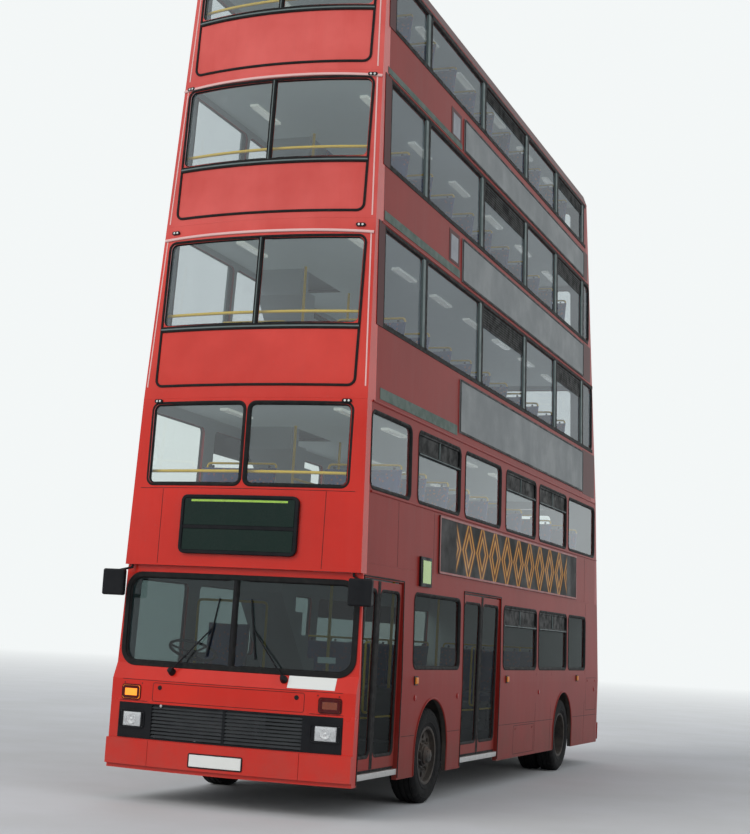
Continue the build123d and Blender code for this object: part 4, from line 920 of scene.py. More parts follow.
# Blank number plates, stickers, notices and the dark ends of the grey panels
plates = Shape()
bowed_plate(plates, bumper_face, -0.31, 0.22, 0.378, 0.486, 0.006, 0.001)
bowed_plate(plates, front, 0.60, 1.05, 1.145, 1.255, 0.0025, 0.0008, 0.001)
bowed_plate(plates, finder(AHEAD, wall_tree("windscreen")), 0.84, 1.01, 1.385, 1.44, 0.002, -0.009, 0.0005)
bowed_plate(plates, back, -0.26, 0.26, 1.325, 1.425, 0.006, 0.001)
plates.make("blank_plates", "white_plate", "panel_grey")
posters = Shape()
panel_ends = Shape()
for side in SIDES:
    for low_z, high_z in ((5.79, 6.07), (7.21, 7.46)):
        flat_plate(posters, walls[side], 2.23, 2.6, low_z - 0.03, high_z + 0.05, 0.003, skin=1)
        flat_plate(posters, walls[side], 2.29, 2.54, low_z, high_z, 0.006)
    for low_x, low_z, high_z in ((-4.62, 3.9, 4.55), (-4.32, 5.62, 6.15), (-4.1, 7.13, 7.55)):
        flat_plate(panel_ends, walls[side], low_x, -3.86, low_z, high_z, 0.002, 0, 0.0005)
posters.make("blank_posters", "poster_grey red_deep", "panel_grey")
panel_ends.make("panel_ends", "red_deep", "red_paint")
plate_rims = Shape()
rim(plate_rims, bumper_face, (-0.318, 0.228, 0.371, 0.493, 0.01, 2, 0.15), flat_profile(0.01, 0.008))
plate_rims.make("plate_rims", "black_trim")

# Destination box and side blind: black rim, dark glass and lit strips, all blank
sign_front = Shape()
rim(sign_front, box_face, (-0.592, 0.592, 2.35, 2.876, 0.045, 5, 0.12), flat_profile(0.03, 0.012))
line(sign_front, box_face, [(-0.58, 2.585), (0.58, 2.585)], flat_profile(0.03, 0.006))
sign_front.make("destination_rim", "black_trim")
sign_glass = Shape()
for low_z, high_z in ((2.605, 2.858), (2.368, 2.566)):
    bowed_plate(sign_glass, box_face, -0.57, 0.57, low_z, high_z, 0.003, 0.0005, 0.001)
sign_glass.make("destination_glass", "screen_green")
sign_light = Shape()
bowed_plate(sign_light, box_face, -0.5, 0.5, 2.826, 2.846, 0.0015, 0.0037, 0.0005)
sign_light.make("destination_light", "lime_light", "lamp_glass")
blind_face = finder((0, NEAR, 0), box_tree)
blind = Shape()
flat_plate(blind, blind_face, 3.04, 3.32, 2.205, 2.455, 0.004)
blind.make("side_blind_glass", "screen_green")
blind_light = Shape()
flat_plate(blind_light, blind_face, 3.055, 3.3, 2.215, 2.445, 0.002, 0.0035, 0.001)
blind_light.make("side_blind_light", "lime_light", "lamp_glass")

# Headlamps with bright bowls and fluted lenses, and rims of the indicators
lenses = Shape()
bowls = Shape()
masks = Shape()
rims = Shape()
bases = Shape()
grille_face = finder(AHEAD, wall_tree("front_grille", "front_lamps"))
bowl_profile = [(0, 0.05), (0.003, 0.049), (0.0035, 0.044), (0.001, 0.03), (0.001, 0.016), (0.004, 0.014),
                (0.006, 0.0001)]
flutes = 28
lens_rows = 10
for side in SIDES:
    centre = side * headlamp_y
    points = []
    for i in range(flutes + 1):
        for j in range(lens_rows + 1):
            u = 2 * i / flutes - 1
            v = 2 * j / lens_rows - 1
            place, normal = lamp_face(centre + u * lens_half_y, headlamp_z + v * lens_half_z)
            edge = (1 - u ** 6) * (1 - v ** 4)
            points.append(place + normal * (0.001 + 0.011 * edge + 0.0022 * edge * math.cos(i * math.pi)))
    lenses.add(points, lattice(flutes + 1, lens_rows + 1))
    lathe(bowls, *lamp_face(centre, headlamp_z, 0.0105), bowl_profile, 32)
    for low_y, high_y in ((centre - 0.125, centre - lens_half_y), (centre + lens_half_y, centre + 0.125)):
        bowed_plate(masks, lamp_face, low_y, high_y, 0.695, 0.825, 0.009, 0, 0.003)
    rim(rims, grille_face, (centre - 0.14, centre + 0.14, 0.68, 0.84, 0.03, 4, 0.1),
        flat_profile(0.012, 0.006))
    centre = side * 1.018
    rim(bases, front, (centre - 0.104, centre + 0.104, 0.944, 1.076, 0.022, 4, 0.1),
        flat_profile(0.012, 0.008))
    rim(bases, lamp_face, (centre - 0.083, centre + 0.083, 0.964, 1.056, 0.008, 2, 0.1),
        flat_profile(0.026, 0.003))
lenses.make("headlamp_lenses", "clear_lens", "lamp_glass")
bowls.make("headlamp_bowls", "polished", "lamp_glass")
masks.make("headlamp_masks", "black_trim")
rims.make("headlamp_rims", "black_trim")
bases.make("indicator_bases", "red_deep")

# Wiper pivots and mirror glasses
pivots = Shape()
pivot_profile = [(0, 0.036), (0.02, 0.034), (0.045, 0.026), (0.06, 0.024), (0.066, 0.0001)]
for y in (-0.594, 0.556):
    lathe(pivots, *front(y, 1.215), pivot_profile, 20)
pivots.make("wiper_pivots", "black_trim")
mirror_glass = Shape()
mirror_tree = wall_tree("mirrors")
for side in SIDES:
    low_y = side * 1.27 - 0.085
    high_y = side * 1.27 + 0.085
    spots = ((low_y, 1.94), (high_y, 1.94), (high_y, 2.13), (low_y, 2.13))
    slab(mirror_glass, [cast(mirror_tree, (4.6, y, z), AHEAD) for y, z in spots], 0.004, 0.0015)
mirror_glass.make("mirror_glasses", "polished", "glass")

# Side mouldings, joints, flaps, rivets and small lamps
side_lines = Shape()
seams = Shape()
hardware = Shape()
lamp_bases = Shape()
ambers = Shape()
reds = Shape()
# columns: x, low z, top z of an upright joint
upright_joints = [(4.0, 2.33, 2.97), (2.9, 2.33, 2.97), (-1.36, 2.33, 2.97), (-4.03, 2.33, 2.97),
                  (-1.36, 0.33, 1.31), (-2.15, 0.33, 1.31), (-4.12, 0.33, 2.3)]
# low x and high x of the joints along the skirt
level_joints = {NEAR: [(1.83, 2.27), (-2.3, 0.31), (3.34, 3.74), (-4.9, -3.4)],
                OFF: [(-2.3, 2.25), (3.34, 4.85), (-4.9, -3.4)]}
# columns: low x, high x, low z, high z
flaps = {
    NEAR: [(-1.3, -0.35, 0.34, 0.68), (-4.85, -4.2, 0.78, 1.24)],
    OFF: [(-1.3, -0.4, 0.34, 0.68), (0.5, 1.4, 0.34, 0.68), (-4.85, -4.2, 0.78, 1.24),
          (1.55, 1.85, 0.95, 1.2), (3.6, 4.3, 0.34, 0.66)],
}
for side in SIDES:
    wall = walls[side]
    for z, low_x, high_x in ((3.835, -4.7, 4.79), (5.595, -4.42, 4.68), (7.105, -4.18, 4.6),
                             (2.985, -4.8, 4.78)):
        line(side_lines, wall, [(low_x, z), (high_x, z)], half_round, 2.0)
    for x, low_z, high_z in upright_joints:
        line(seams, wall, [(x, low_z), (x, high_z)], seam_profile, 0.5)
    for low_x, high_x in level_joints[side]:
        line(seams, wall, [(low_x, 0.705), (high_x, 0.705)], seam_profile, 0.5)
    for low_x, high_x, low_z, high_z in flaps[side]:
        rim(seams, wall, (low_x, high_x, low_z, high_z, 0.015, 2, 0.6), seam_profile)
        for x in (low_x + 0.08, high_x - 0.08):
            lathe(hardware, *wall(x, high_z - 0.04),
                  [(0, 0.014), (0.003, 0.0135), (0.004, 0.009), (0.003, 0.0085), (0.003, 0.0001)], 16)
    for z, low_x, high_x in ((2.978, -4.7, 4.7), (2.338, -4.8, 3.7)):
        for x in steps_between(low_x, high_x, 0.16):
            dome(hardware, *wall(x, z), 0.0045, 0.002, 6)
    first_x = 3.37 if side == NEAR else 3.45
    for x in (first_x, 0.03 if side == NEAR else 0.3, -3.6):
        flat_plate(lamp_bases, wall, x - 0.05, x + 0.05, 1.195, 1.285, 0.01, 0, 0.004)
        flat_plate(ambers, wall, x - 0.038, x + 0.038, 1.207, 1.273, 0.016, 0.008, 0.007)
    for x in (first_x, 1.97, -1.5, -4.75):
        lathe(reds, *wall(x, 1.07), [(0, 0.03), (0.006, 0.03), (0.008, 0.026), (0.0085, 0.0001)], 20)
side_lines.make("side_mouldings", "red_side", "red_paint")
seams.make("side_joints", "window_rubber")
hardware.make("side_fasteners", "red_side", "red_paint")
lamp_bases.make("side_lamp_bases", "black_trim")
ambers.make("side_lamps", "marker_amber", "lamp_glass")
reds.make("side_reflectors", "reflector_red", "lamp_glass")

# Frames of the dark panel and of the grey panels
frames = Shape()
panel_tree = wall_tree("advert_panels", "sign_panels")
for side in SIDES:
    for low_x, high_x, low_z, high_z, skin in ((-3.48, 2.74, 2.345, 2.955, 0), (-3.83, 2.13, 3.92, 4.52, 1),
                                               (-3.83, 2.13, 5.625, 6.12, 1), (-3.83, 2.13, 7.135, 7.52, 1)):
        outline = (low_x + 0.012, high_x - 0.012, low_z + 0.012, high_z - 0.012, 0.012, 2, 2.0)
        rim(frames, finder((0, side, 0), panel_tree), outline, flat_profile(0.022, 0.005), skin)
frames.make("panel_frames", "moulding_pink black_trim")


# Sides of the added decks: green bands, posts, ribbons, and the opening vents of all decks

def hopper(shape, flat, low_x, high_x, low_z, high_z):
    """A framed top light with an upright in the middle."""
    middle = (low_x + high_x) / 2
    flat_plate(shape, flat, low_x + 0.025, high_x - 0.025, low_z, high_z - 0.02, 0.004, 0.0005)
    line(shape, flat, [(middle, low_z), (middle, high_z - 0.02)], flat_profile(0.014, 0.014), 3.0, 1)
    foot = low_z - 0.012
    line(shape, flat, [(low_x + 0.02, foot), (high_x - 0.02, foot)], flat_profile(0.01, 0.027), 3.0, 1)
    rim(shape, flat, (low_x + 0.014, high_x - 0.014, low_z, high_z - 0.014, 0.035, 4, 0.5),
        flat_profile(0.026, 0.016))
    line(shape, flat, [(low_x + 0.01, foot), (high_x - 0.01, foot)], flat_profile(0.03, 0.024), 3.0)


def slatted_vent(shape, flat, low_x, high_x, low_z, high_z):
    """A top light closed by a slatted black strip."""
    flat_plate(shape, flat, low_x + 0.012, high_x - 0.012, low_z, high_z - 0.012, 0.008, 0.0005)
    for z in steps_between(low_z + 0.03, high_z - 0.04, 0.035):
        line(shape, flat, [(low_x + 0.04, z), (high_x - 0.04, z)], flat_profile(0.012, 0.014), 3.0)


bands = Shape()
ribbons = Shape()
posts = Shape()
vents = Shape()
glass_depth = 0.0205
# columns: sill z, window top z, front x, back x, band low z, band high z
added_sides = [(4.625, 5.549, 4.70, -4.47, 3.88, 3.99), (6.226, 7.055, 4.62, -4.14, 5.64, 5.73),
               (7.66, 8.225, 4.55, -3.93, 7.125, 7.19)]
# columns: maker, low x, high x, low z, high z of each vent
vent_places = [(hopper, 2.046, 3.445, 3.53, 3.736), (hopper, -1.206, 0.19, 3.53, 3.736),
               (hopper, -2.87, -1.4, 3.53, 3.736), (hopper, -1.325, 0.2, 1.885, 2.091),
               (hopper, -2.955, -1.46, 1.885, 2.091)]
for sill, head, front_x, back_x, band_low, band_high in added_sides:
    vent_places += [(slatted_vent, low_x, high_x, head - (head - sill) * 0.27, head)
                    for low_x, high_x in ((-0.6, 1.285), (-3.8, -2.261))]
for side in SIDES:
    wall = walls[side]
    for sill, head, front_x, back_x, band_low, band_high in added_sides:
        flat = flat_from(wall, 3.0, sill - 0.1)
        flat_plate(bands, wall, 2.2, 4.62, band_low, band_high, 0.004, 0, 0.001)
        for x in (3.334, 1.313, -0.628, -2.233, -3.829):
            if x - 0.1 < back_x:
                continue
            line(ribbons, wall, [(x, sill - 0.03), (x, head + 0.03)], flat_profile(0.064, 0.005), 3.0)
            line(ribbons, flat, [(x + 0.068, sill - 0.02), (x + 0.068, head + 0.02)],
                 flat_profile(0.075, 0.003, glass_depth), 3.0, 1)
        for z in (sill - 0.026, head + 0.026):
            line(ribbons, wall, [(back_x - 0.02, z), (front_x + 0.02, z)], flat_profile(0.05, 0.005), 3.0)
        for shape, x, reach, wide, high in ((posts, front_x - 0.02, 0.05, 0.17, 0.006),
                                            (ribbons, front_x - 0.115, 0.04, 0.024, 0.0065)):
            line(shape, flat, [(x, sill - reach), (x, head + reach)], flat_profile(wide, high, glass_depth),
                 3.0)
    for maker, low_x, high_x, low_z, high_z in vent_places:
        glass = finder((0, side, 0), glass_tree)
        flat = flat_from(glass, (low_x + high_x) / 2, (low_z + high_z) / 2)
        maker(vents, flat, low_x, high_x, low_z, high_z)
bands.make("green_bands", "green_band", "panel_grey")
ribbons.make("window_ribbons", "window_rubber frame_grey")
repaint(posts.make("front_posts", "red_deep", "red_paint").data, "lining",
        lambda place, facing: int(facing.y * place.y < 0))
vents.make("window_vents", "vent_black frame_grey")

# Wheel arch lips
lips = Shape()
lip_radius = 0.526
lip_profile = [(-0.008, -0.002), (-0.008, 0.006), (0.0, 0.01), (0.01, 0.007), (0.014, -0.001)]
for side in SIDES:
    for axle_x in (front_axle_x, rear_axle_x):
        arc = []
        for step in range(25):
            turn = math.pi * step / 24
            arc.append((axle_x + lip_radius * math.cos(turn), arch_centre_z + lip_radius * math.sin(turn)))
        front_leg = [(axle_x + lip_radius, 0.31), (axle_x + lip_radius, 0.42)]
        back_leg = [(axle_x - lip_radius, 0.42), (axle_x - lip_radius, 0.31)]
        line(lips, walls[side], front_leg + arc + back_leg, lip_profile, 1.0)
lips.make("arch_lips", "red_side", "red_paint")

# Doorways and leaves: rubbers, step edges, seals and handles
door_trim = Shape()
nosing = Shape()
for low_x, high_x in ((3.80, 4.86), (0.35, 1.79)):
    points = [(low_x - 0.014, 0.32), (low_x - 0.014, 2.2), (high_x + 0.014, 2.2), (high_x + 0.014, 0.32)]
    line(door_trim, walls[NEAR], points, flat_profile(0.016, 0.006), 0.5)
    box_shape(nosing, (low_x + 0.004, 1.15, 0.399), (high_x - 0.004, 1.247, 0.406), 0.002)
    box_shape(nosing, (low_x + 0.004, 1.2415, 0.352), (high_x - 0.004, 1.247, 0.4), 0.002)
door_trim.make("doorway_trim", "window_rubber")
nosing.make("step_edges", "aluminium", "stair_grey")
# columns: doorway, leaf, side of the meeting edge in x
for doorway, leaf, meeting in (("entrance", "front", -1), ("entrance", "rear", 1), ("exit", "front", -1),
                               ("exit", "rear", 1)):
    body = doorway + "_" + leaf + "_leaf"
    node = doorway + "_leaf_" + leaf
    low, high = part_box(node)
    edge_x = low.x if meeting < 0 else high.x
    seal_xs = sorted((edge_x + meeting * 0.0035, edge_x - meeting * 0.034))
    seals = Shape()
    box_shape(seals, (seal_xs[0], 1.1785, 0.434), (seal_xs[1], 1.2165, 2.168), 0.003)
    box_shape(seals, (low.x + 0.004, 1.186, 0.41), (high.x - 0.004, 1.208, 0.436), 0.003)
    seals.make(node + "_seals", "window_rubber", "trim_black", body)
    rails = Shape()
    x = edge_x - meeting * 0.07
    tube(rails, [(x, 1.182, 0.95), (x, 1.135, 0.95), (x, 1.135, 1.6), (x, 1.182, 1.6)], 0.011, 0.03)
    tube(rails, [(low.x + 0.06, 1.182, 0.9), (low.x + 0.06, 1.15, 0.9), (high.x - 0.06, 1.15, 0.9),
                 (high.x - 0.06, 1.182, 0.9)], 0.009, 0.02)
    rails.make(node + "_rails", "rail_yellow", "rail_yellow", body)


# Wheels

def make_tyres(name, node, body, centres, width):
    """Tyres with side ribs, four grooves and notched shoulders, from bead to crown and back."""
    half = width / 2
    # columns: how far in from the side, radius
    wall_rows = [(0.03, 0.289), (0.016, 0.294), (0.008, 0.31), (0.0045, 0.33), (0.0015, 0.333),
                 (0.0015, 0.341), (0.0035, 0.344), (0, 0.375), (0, 0.395), (0.003, 0.418), (0.001, 0.421),
                 (0.002, 0.426), (0.01, 0.444), (0.018, 0.459), (0.03, 0.4705), (0.05, 0.4765)]
    rows = [(half - inset, radius) for inset, radius in wall_rows]
    for groove in (0.62, 0.22):
        rows += [(half * groove + 0.009, 0.4785), (half * groove + 0.0055, 0.467),
                 (half * groove - 0.0055, 0.467), (half * groove - 0.009, 0.479)]
    section = [(out, radius, 12 <= index <= 15) for index, (out, radius) in enumerate(rows)]
    section += [(-out, radius, notched) for out, radius, notched in reversed(section)]
    low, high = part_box(node)
    steps = 144
    shape = Shape()
    for centre in centres:
        points = []
        for step in range(steps):
            angle = 2 * math.pi * step / steps
            for out, radius, notched in section:
                reach = radius - (0.009 if notched and step % 4 == 0 else 0.0)
                points.append(((low.x + high.x) / 2 + reach * math.cos(angle), centre + out,
                               axle_z + reach * math.sin(angle)))
        shape.add(points, lattice(steps, len(section), True, True))
    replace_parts(shape.make(name, "tyre_rubber", "tyre", body, 40), node)


nut = [(0, 0.018), (0.004, 0.0175), (0.004, 0.0145), (0.022, 0.0145), (0.024, 0.012), (0.024, 0.009),
       (0.034, 0.009), (0.035, 0.0001)]
hub_cap = [(0, 0.088), (0.006, 0.088), (0.008, 0.078), (0.03, 0.07), (0.042, 0.055), (0.046, 0.03),
           (0.05, 0.028), (0.053, 0.0001)]
rim_edge = [(-0.02, 0.262), (0.0, 0.264), (0.004, 0.27), (0.004, 0.282), (0.002, 0.292), (-0.004, 0.294),
            (-0.004, 0.287), (-0.02, 0.2862)]
# columns: tyre node, rim node, body, side, y of each tyre, tyre width
wheels = [
    ("front_tyre_left", "front_rim_left", "front_wheel_left", NEAR, [1.0875], 0.275),
    ("front_tyre_right", "front_rim_right", "front_wheel_right", OFF, [1.0875], 0.275),
    ("rear_tyres_left", "rear_rims_left", "rear_wheels_left", NEAR, [1.1, 0.84], 0.25),
    ("rear_tyres_right", "rear_rims_right", "rear_wheels_right", OFF, [1.1, 0.84], 0.25),
]
for tyre_node, rim_node, body, side, centres, width in wheels:
    make_tyres(tyre_node + "_tread", tyre_node, body, [side * centre for centre in centres], width)
    low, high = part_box(rim_node)
    axle_x = (low.x + high.x) / 2
    wheel_face = finder((0, side, 0), wall_tree(rim_node))
    outward = (0, side, 0)
    nuts = Shape()
    for number in range(10):
        angle = math.radians(36 * number + 18)
        place, normal = wheel_face(axle_x + 0.142 * math.cos(angle), axle_z + 0.142 * math.sin(angle))
        lathe(nuts, place, outward, nut, 6)
    hub_face, normal = wheel_face(axle_x, axle_z)
    lathe(nuts, hub_face, outward, hub_cap, 36)
    for number in range(8):
        angle = math.radians(45 * number)
        place = hub_face + Vector((0.064 * math.cos(angle), side * 0.03, 0.064 * math.sin(angle)))
        lathe(nuts, place, outward, [(0, 0.008), (0.01, 0.008), (0.011, 0.0001)], 6)
    nuts.make(rim_node + "_nuts", "cast_dark", "axle_steel", body)
    flange = Shape()
    lathe(flange, (axle_x, side * (centres[0] + width / 2 - 0.018), axle_z), outward, rim_edge, 72)
    flange.make(rim_node + "_flange", "wheel_paint", "wheel_paint", body)


# Seats

def seat_places(node):
    """Front x, floor z, low y and high y of every seat of a packed row node."""
    work = bmesh.new()
    work.from_mesh(nodes[node].data)
    bmesh.ops.remove_doubles(work, verts=work.verts, dist=0.00002)
    left = set(work.verts)
    places = []
    for start in work.verts:
        if start not in left:
            continue
        left.discard(start)
        stack = [start]
        island = [start]
        while stack:
            vertex = stack.pop()
            for edge in vertex.link_edges:
                other = edge.other_vert(vertex)
                if other in left:
                    left.discard(other)
                    stack.append(other)
                    island.append(other)
        xs, ys, zs = zip(*(vertex.co for vertex in island))
        tops = sorted({round(x, 3) for x, z in zip(xs, zs) if z > max(zs) - 0.001}, reverse=True)
        places += [(top + 0.52, min(zs), min(ys), max(ys)) for top in tops[::2]]
    work.free()
    return places


def pad(shape, corner, along, out, wide, long, thick, crown, halves):
    """Crowned pad on a corner: rolled edges, waisted sides, a hump for each sitter and a sewn channel."""
    corner = Vector(corner)
    across = Vector((0, 1, 0))
    along = Vector(along).normalized()
    out = Vector(out).normalized()
    columns = 10 * halves
    rows = 9
    edge_inset = 0.017
    waist = 0.007

    def spot(u, v, height, inset, pull=0.0):
        a = inset + u * (wide - 2 * inset) + pull * (1 - 2 * u) * 4 * v * (1 - v)
        b = inset + v * (long - 2 * inset) + pull * (1 - 2 * v) * 4 * u * (1 - u)
        return corner + across * a + along * b + out * height

    points = []
    for i in range(columns + 1):
        u = i / columns
        share = (u * halves) % 1.0 if 0 < i < columns else 0.0
        for j in range(rows + 1):
            v = j / rows
            hump = (1 - abs(2 * share - 1) ** 3) * (1 - abs(2 * v - 1) ** 4)
            channel = 0.006 if j in (3, 6) and 0.05 < share < 0.95 else 0.0
            height = thick * 0.88 + (thick * 0.12 + crown) * hump - channel
            points.append(spot(u, v, height, edge_inset))
    size = rows + 1
    faces = lattice(columns + 1, size)
    border = [(i, 0) for i in range(columns)] + [(columns, j) for j in range(rows)]
    border += [(i, rows) for i in range(columns, 0, -1)] + [(0, j) for j in range(rows, 0, -1)]
    ring = [i * size + j for i, j in border]
    count = len(border)
    # columns: share of the thickness, inset, how far the middle of a side pulls in
    levels = ((0.72, 0.005, waist), (0.4, 0.0, waist), (0.12, 0.004, waist), (0.0, 0.014, 0.0))
    for height, inset, pull in levels:
        start = len(points)
        points += [spot(i / columns, j / rows, thick * height, inset, pull) for i, j in border]
        faces += [(ring[k], ring[(k + 1) % count], start + (k + 1) % count, start + k) for k in range(count)]
        ring = [start + k for k in range(count)]
    faces.append(tuple(ring))
    shape.add(points, faces)


def make_cushions(shape, name, slot, node):
    """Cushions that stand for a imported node."""
    piece = shape.make(name, "seat_cloth", slot, sharp=60)
    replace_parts(piece, node)


for label in ("nearside", "offside"):
    pads = Shape()
    frames = Shape()
    for front_x, floor_z, low_y, high_y in seat_places(label + "_seats"):
        wide = high_y - low_y - 0.01
        y = low_y + 0.005
        pad(pads, (front_x, y, floor_z + 0.325), (-1, 0, -0.045), (0, 0, 1), wide, 0.425, 0.085, 0.03, 2)
        pad(pads, (front_x - 0.49, y, floor_z + 0.42), (-0.165, 0, 0.97), (0.97, 0, 0.165), wide, 0.52, 0.055,
            0.022, 2)
        for leg_y in (low_y + 0.1, high_y - 0.1):
            leg = [(front_x - 0.2, leg_y, floor_z + 0.002), (front_x - 0.2, leg_y, floor_z + 0.3),
                   (front_x - 0.44, leg_y, floor_z + 0.315), (front_x - 0.585, leg_y, floor_z + 0.96)]
            tube(frames, leg, 0.013, 0.05, 0, 8)
        low_y += 0.03
        high_y -= 0.03
        grip = [(front_x - 0.56, low_y, floor_z + 0.8), (front_x - 0.6, low_y, floor_z + 0.985),
                (front_x - 0.6, high_y, floor_z + 0.985), (front_x - 0.56, high_y, floor_z + 0.8)]
        tube(frames, grip, 0.012, 0.04, 1, 8)
        box_shape(frames, (front_x - 0.42, low_y, floor_z + 0.3), (front_x - 0.02, high_y, floor_z + 0.326),
                  0.004, 2)
    make_cushions(pads, label + "_seat_pads", "seat_fabric", label + "_seats")
    frames.make(label + "_seat_frames", "black_metal rail_yellow grey_plastic", "chassis_black")

# Cab: seat, cowl with a raised binnacle, screen behind the driver and steering wheel
cab = Shape()
cab_pads = Shape()
cab_y = -0.70
seat_x = 4.15
cab_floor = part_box("cab")[0].z
pad(cab_pads, (seat_x + 0.05, cab_y - 0.24, cab_floor + 0.35), (-1, 0, -0.04), (0, 0, 1), 0.48, 0.42, 0.09,
    0.03, 1)
pad(cab_pads, (seat_x - 0.42, cab_y - 0.23, cab_floor + 0.45), (-0.15, 0, 0.98), (0.98, 0, 0.15), 0.46, 0.62,
    0.07, 0.03, 1)
make_cushions(cab_pads, "driver_seat_pads", "trim_black", "cab")
# columns: low corner, high corner, bevel, finish number
for low, high, bevel, skin in (
        ((seat_x - 0.3, cab_y - 0.14, cab_floor + 0.002), (seat_x - 0.04, cab_y + 0.14, cab_floor + 0.34),
         0.03, 0),
        ((seat_x - 0.4, cab_y - 0.22, cab_floor + 0.31), (seat_x + 0.04, cab_y + 0.22, cab_floor + 0.352),
         0.015, 0),
        ((4.70, -1.15, cab_floor), (4.84, 0.25, 1.13), 0.02, 1),
        ((4.64, -1.02, 1.03), (4.82, -0.38, 1.19), 0.035, 0), ((4.66, -0.33, 1.0), (4.8, 0.2, 1.14), 0.02, 1),
        ((3.548, -1.15, cab_floor), (3.572, -0.32, 1.25), 0.006, 1)):
    box_shape(cab, low, high, bevel, skin)
back_rest = [(seat_x - 0.45, cab_y - 0.2, cab_floor + 0.4), (seat_x - 0.52, cab_y - 0.2, cab_floor + 1.0),
             (seat_x - 0.52, cab_y + 0.2, cab_floor + 1.0), (seat_x - 0.45, cab_y + 0.2, cab_floor + 0.4)]
tube(cab, back_rest, 0.016, 0.08)
tube(cab, [(3.56, -1.13, 1.2), (3.56, -1.13, 1.94), (3.56, -0.34, 1.94), (3.56, -0.34, 1.2)], 0.014, 0.05, 2)
wheel_axis = Vector((-0.45, 0, 1)).normalized()
wheel_centre = Vector((4.44, cab_y, 1.42))
wheel_up = wheel_axis.cross(Vector((0, 1, 0)))


def on_wheel(turn, radius):
    """Place on the steering wheel at a turn in degrees."""
    angle = math.radians(turn)
    return wheel_centre + (Vector((0, 1, 0)) * math.cos(angle) + wheel_up * math.sin(angle)) * radius


sweep(cab, [(on_wheel(9 * k, 0.23), wheel_axis) for k in range(40)], round_profile(0.015), True)
for turn in (90, 210, 330):
    tube(cab, [on_wheel(turn, 0.03) - wheel_axis * 0.03, on_wheel(turn, 0.226)], 0.011)
boss = [(0, 0.05), (0.03, 0.055), (0.045, 0.04), (0.05, 0.0001)]
lathe(cab, wheel_centre - wheel_axis * 0.05, wheel_axis, boss, 24)
tube(cab, [wheel_centre - wheel_axis * 0.04, wheel_centre + Vector((0.45, 0, -1)) * 0.72], 0.03, sides=14)
cab.make("cab_fittings", "black_trim grey_plastic rail_yellow")
cab_items = Shape()
box_shape(cab_items, (4.7, -0.6, 1.192), (4.78, -0.5, 1.24), 0.01)
box_shape(cab_items, (4.69, -0.24, 1.142), (4.79, 0.0, 1.2), 0.012)
cab_items.make("cab_items", "cab_blue")

# Ceiling lamps, which leave out the stairwells
ceiling_lamps = Shape()
ceiling_tree = wall_tree("deck_floors", "roof")
for level, low_x, high_x in ((1.8, -3.9, 3.4), (3.0, -4.4, 4.4), (4.8, -4.2, 4.3), (6.3, -4.0, 4.2),
                             (7.6, -3.8, 4.1)):
    for y in (-0.62, 0.62):
        for x in steps_between(low_x + 0.4, high_x - 0.4, 1.5):
            place = ceiling_tree.ray_cast(Vector((x, y, level)), Vector((0, 0, 1)))[0]
            if place and not (y < 0 and 1.2 < x < 3.4):
                box_shape(ceiling_lamps, (x - 0.3, y - 0.045, place.z - 0.028),
                          (x + 0.3, y + 0.045, place.z - 0.0005), 0.008)
ceiling_lamps.make("ceiling_lamps", "lamp_strip", "lamp_glass")


# Back: handles, locks, mouldings and lamp rims

def pull_handle(shape, find, half, z, out):
    """Bent round handle that stands off a surface."""
    spots = ((-half, -0.002), (-half, out), (half, out), (half, -0.002))
    tube(shape, [find(y, z, lift)[0] for y, lift in spots], 0.008, 0.012)


cover_trim = Shape()
cover_face = finder((-1, 0, 0), wall_tree("engine_cover"))
for y in (-0.55, 0.55):
    lathe(cover_trim, *cover_face(y, 0.66), [(0, 0.024), (0.005, 0.023), (0.006, 0.017), (0.004, 0.016),
                                             (0.004, 0.0001)], 24)
pull_handle(cover_trim, cover_face, 0.09, 0.68, 0.035)
cover_trim.make("engine_cover_handle", "black_metal", "trim_black", "engine_cover")
exit_handle = Shape()
exit_face = finder((-1, 0, 0), wall_tree("emergency_exit"))
pull_handle(exit_handle, exit_face, 0.08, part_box("emergency_exit")[0].z + 0.045, 0.03)
exit_handle.make("emergency_exit_handle", "aluminium", "trim_black", "emergency_exit")
rear_lines = Shape()
for reach, z in ((1.12, 2.33), (1.1, 2.9), (1.05, 3.835), (0.98, 5.595), (0.93, 7.105)):
    line(rear_lines, back, [(-reach, z), (reach, z)], half_round, 0.5)
rear_lines.make("rear_mouldings", "red_rear", "red_paint")
rear_trim = Shape()
for side in SIDES:
    centre = side * 1.03
    rim(rear_trim, back, (centre - 0.075, centre + 0.075, 0.63, 1.118, 0.02, 3, 0.3),
        flat_profile(0.016, 0.01))
for points in ([(-1.12, 1.2), (-0.86, 1.2)], [(0.86, 1.2), (1.12, 1.2)]):
    line(rear_trim, back, points, seam_profile, 0.3)
rear_trim.make("rear_trim", "black_trim")

# Hatches on the roof
hatches = Shape()
roof_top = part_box("roof")[1].z
for x in (2.2, -1.6):
    box_shape(hatches, (x - 0.35, -0.3, roof_top - 0.01), (x + 0.35, 0.3, roof_top + 0.035), 0.018)
hatches.make("roof_hatches", "red_deep", "red_paint")


# Stage, camera and light

backdrop = (0.9, 0.93, 0.93)


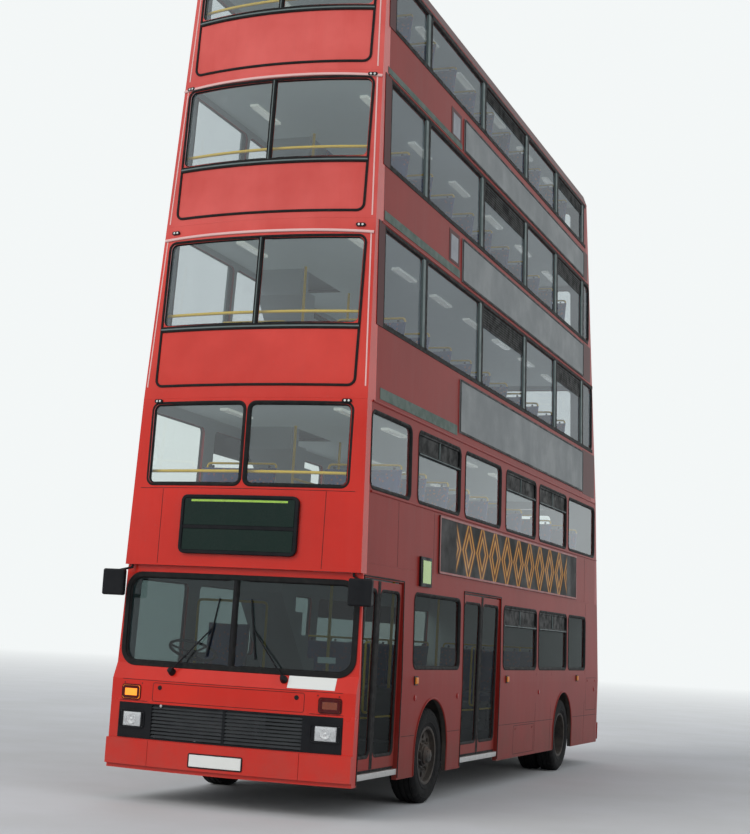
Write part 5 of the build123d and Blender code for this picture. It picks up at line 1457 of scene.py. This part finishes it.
def stage():
    """Pale floor that takes the backdrop's colour far off, where the camera sees it."""
    floor = Shape()
    reach = 400
    floor.add([(-reach, -reach, 0), (reach, -reach, 0), (reach, reach, 0), (-reach, reach, 0)],
              [(0, 1, 2, 3)])
    f = Finish("studio_floor", (0.6, 0.6, 0.6), 0.8, specular=0.1)
    f.tint((0.56, 0.56, 0.55), f.noise(0.6, 4))
    f.bump(f.noise(30, 4), 0.001, 0.1)
    finishes["studio_floor"] = f.done()
    away = f.add("ShaderNodeVectorMath", operation="LENGTH")
    f.put(f.place, away.inputs[0])
    far = f.spread(away.outputs["Value"], 16, 70)
    glow = f.add("ShaderNodeEmission")
    f.put(backdrop, glow.inputs["Color"])
    seen = f.times(far, f.add("ShaderNodeLightPath").outputs["Is Camera Ray"])
    f.put(f.blend(seen, f.shader, glow).outputs[0], f.output.inputs["Surface"])
    piece = floor.make("floor", "studio_floor", None)
    piece.parent = None


def camera():
    """Camera where the photographer stood: place, turn, tilt, roll and focal length in pixels."""
    place = Vector((17.955, 6.289, 1.625))
    yaw = math.radians(21.11)
    pitch = math.radians(8.283)
    roll = math.radians(3.199)
    focal_pixels = 1525.3
    picture_height = 834
    level = math.cos(pitch)
    ahead = Vector((-math.cos(yaw) * level, -math.sin(yaw) * level, math.sin(pitch)))
    flat_right = ahead.cross(Vector((0, 0, 1))).normalized()
    flat_up = flat_right.cross(ahead)
    right = math.cos(roll) * flat_right + math.sin(roll) * flat_up
    up = -math.sin(roll) * flat_right + math.cos(roll) * flat_up
    data = bpy.data.cameras.new("camera")
    data.sensor_fit = "VERTICAL"
    data.sensor_height = 36.0
    data.lens = focal_pixels / picture_height * data.sensor_height
    data.clip_end = 500
    view = bpy.data.objects.new("camera", data)
    view.matrix_world = Matrix([(*row, 1) for row in (right, up, -ahead, place)]).transposed()
    bpy.context.scene.collection.objects.link(view)
    bpy.context.scene.camera = view


def light():
    """Three wide suns out of sight of reflections, and a soft sky."""
    # columns: name, strength, place, spread
    for name, strength, place, spread in (("key", 1.7, (16, -8, 13), 0.7),
                                          ("side_fill", 0.5, (6, 16, 12), 1.0),
                                          ("back_fill", 0.35, (-14, -4, 10), 1.0)):
        data = bpy.data.lights.new(name, "SUN")
        data.energy = strength
        data.angle = spread
        lamp = bpy.data.objects.new(name, data)
        lamp.visible_glossy = False
        lamp.location = place
        lamp.rotation_euler = (Vector((0, 0, 3)) - Vector(place)).to_track_quat("-Z", "Y").to_euler()
        bpy.context.scene.collection.objects.link(lamp)
    world = bpy.data.worlds.new("studio")
    bpy.context.scene.world = world
    world.use_nodes = True
    tree = world.node_tree
    lit = tree.nodes["Background"]
    lit.inputs["Color"].default_value = (0.86, 0.92, 1.0, 1)
    lit.inputs["Strength"].default_value = 0.55
    seen = tree.nodes.new("ShaderNodeBackground")
    seen.inputs["Color"].default_value = (*backdrop, 1)
    seen.inputs["Strength"].default_value = 1.0
    path = tree.nodes.new("ShaderNodeLightPath")
    share = path.outputs["Is Camera Ray"]
    for ray in ("Is Glossy Ray", "Is Transmission Ray"):
        either = tree.nodes.new("ShaderNodeMath")
        either.operation = "MAXIMUM"
        tree.links.new(share, either.inputs[0])
        tree.links.new(path.outputs[ray], either.inputs[1])
        share = either.outputs[0]
    mix = tree.nodes.new("ShaderNodeMixShader")
    for number, item in enumerate((share, lit.outputs[0], seen.outputs[0])):
        tree.links.new(item, mix.inputs[number])
    tree.links.new(mix.outputs[0], tree.nodes["World Output"].inputs["Surface"])
    bpy.context.scene.view_settings.view_transform = "Standard"


stage()
camera()
light()
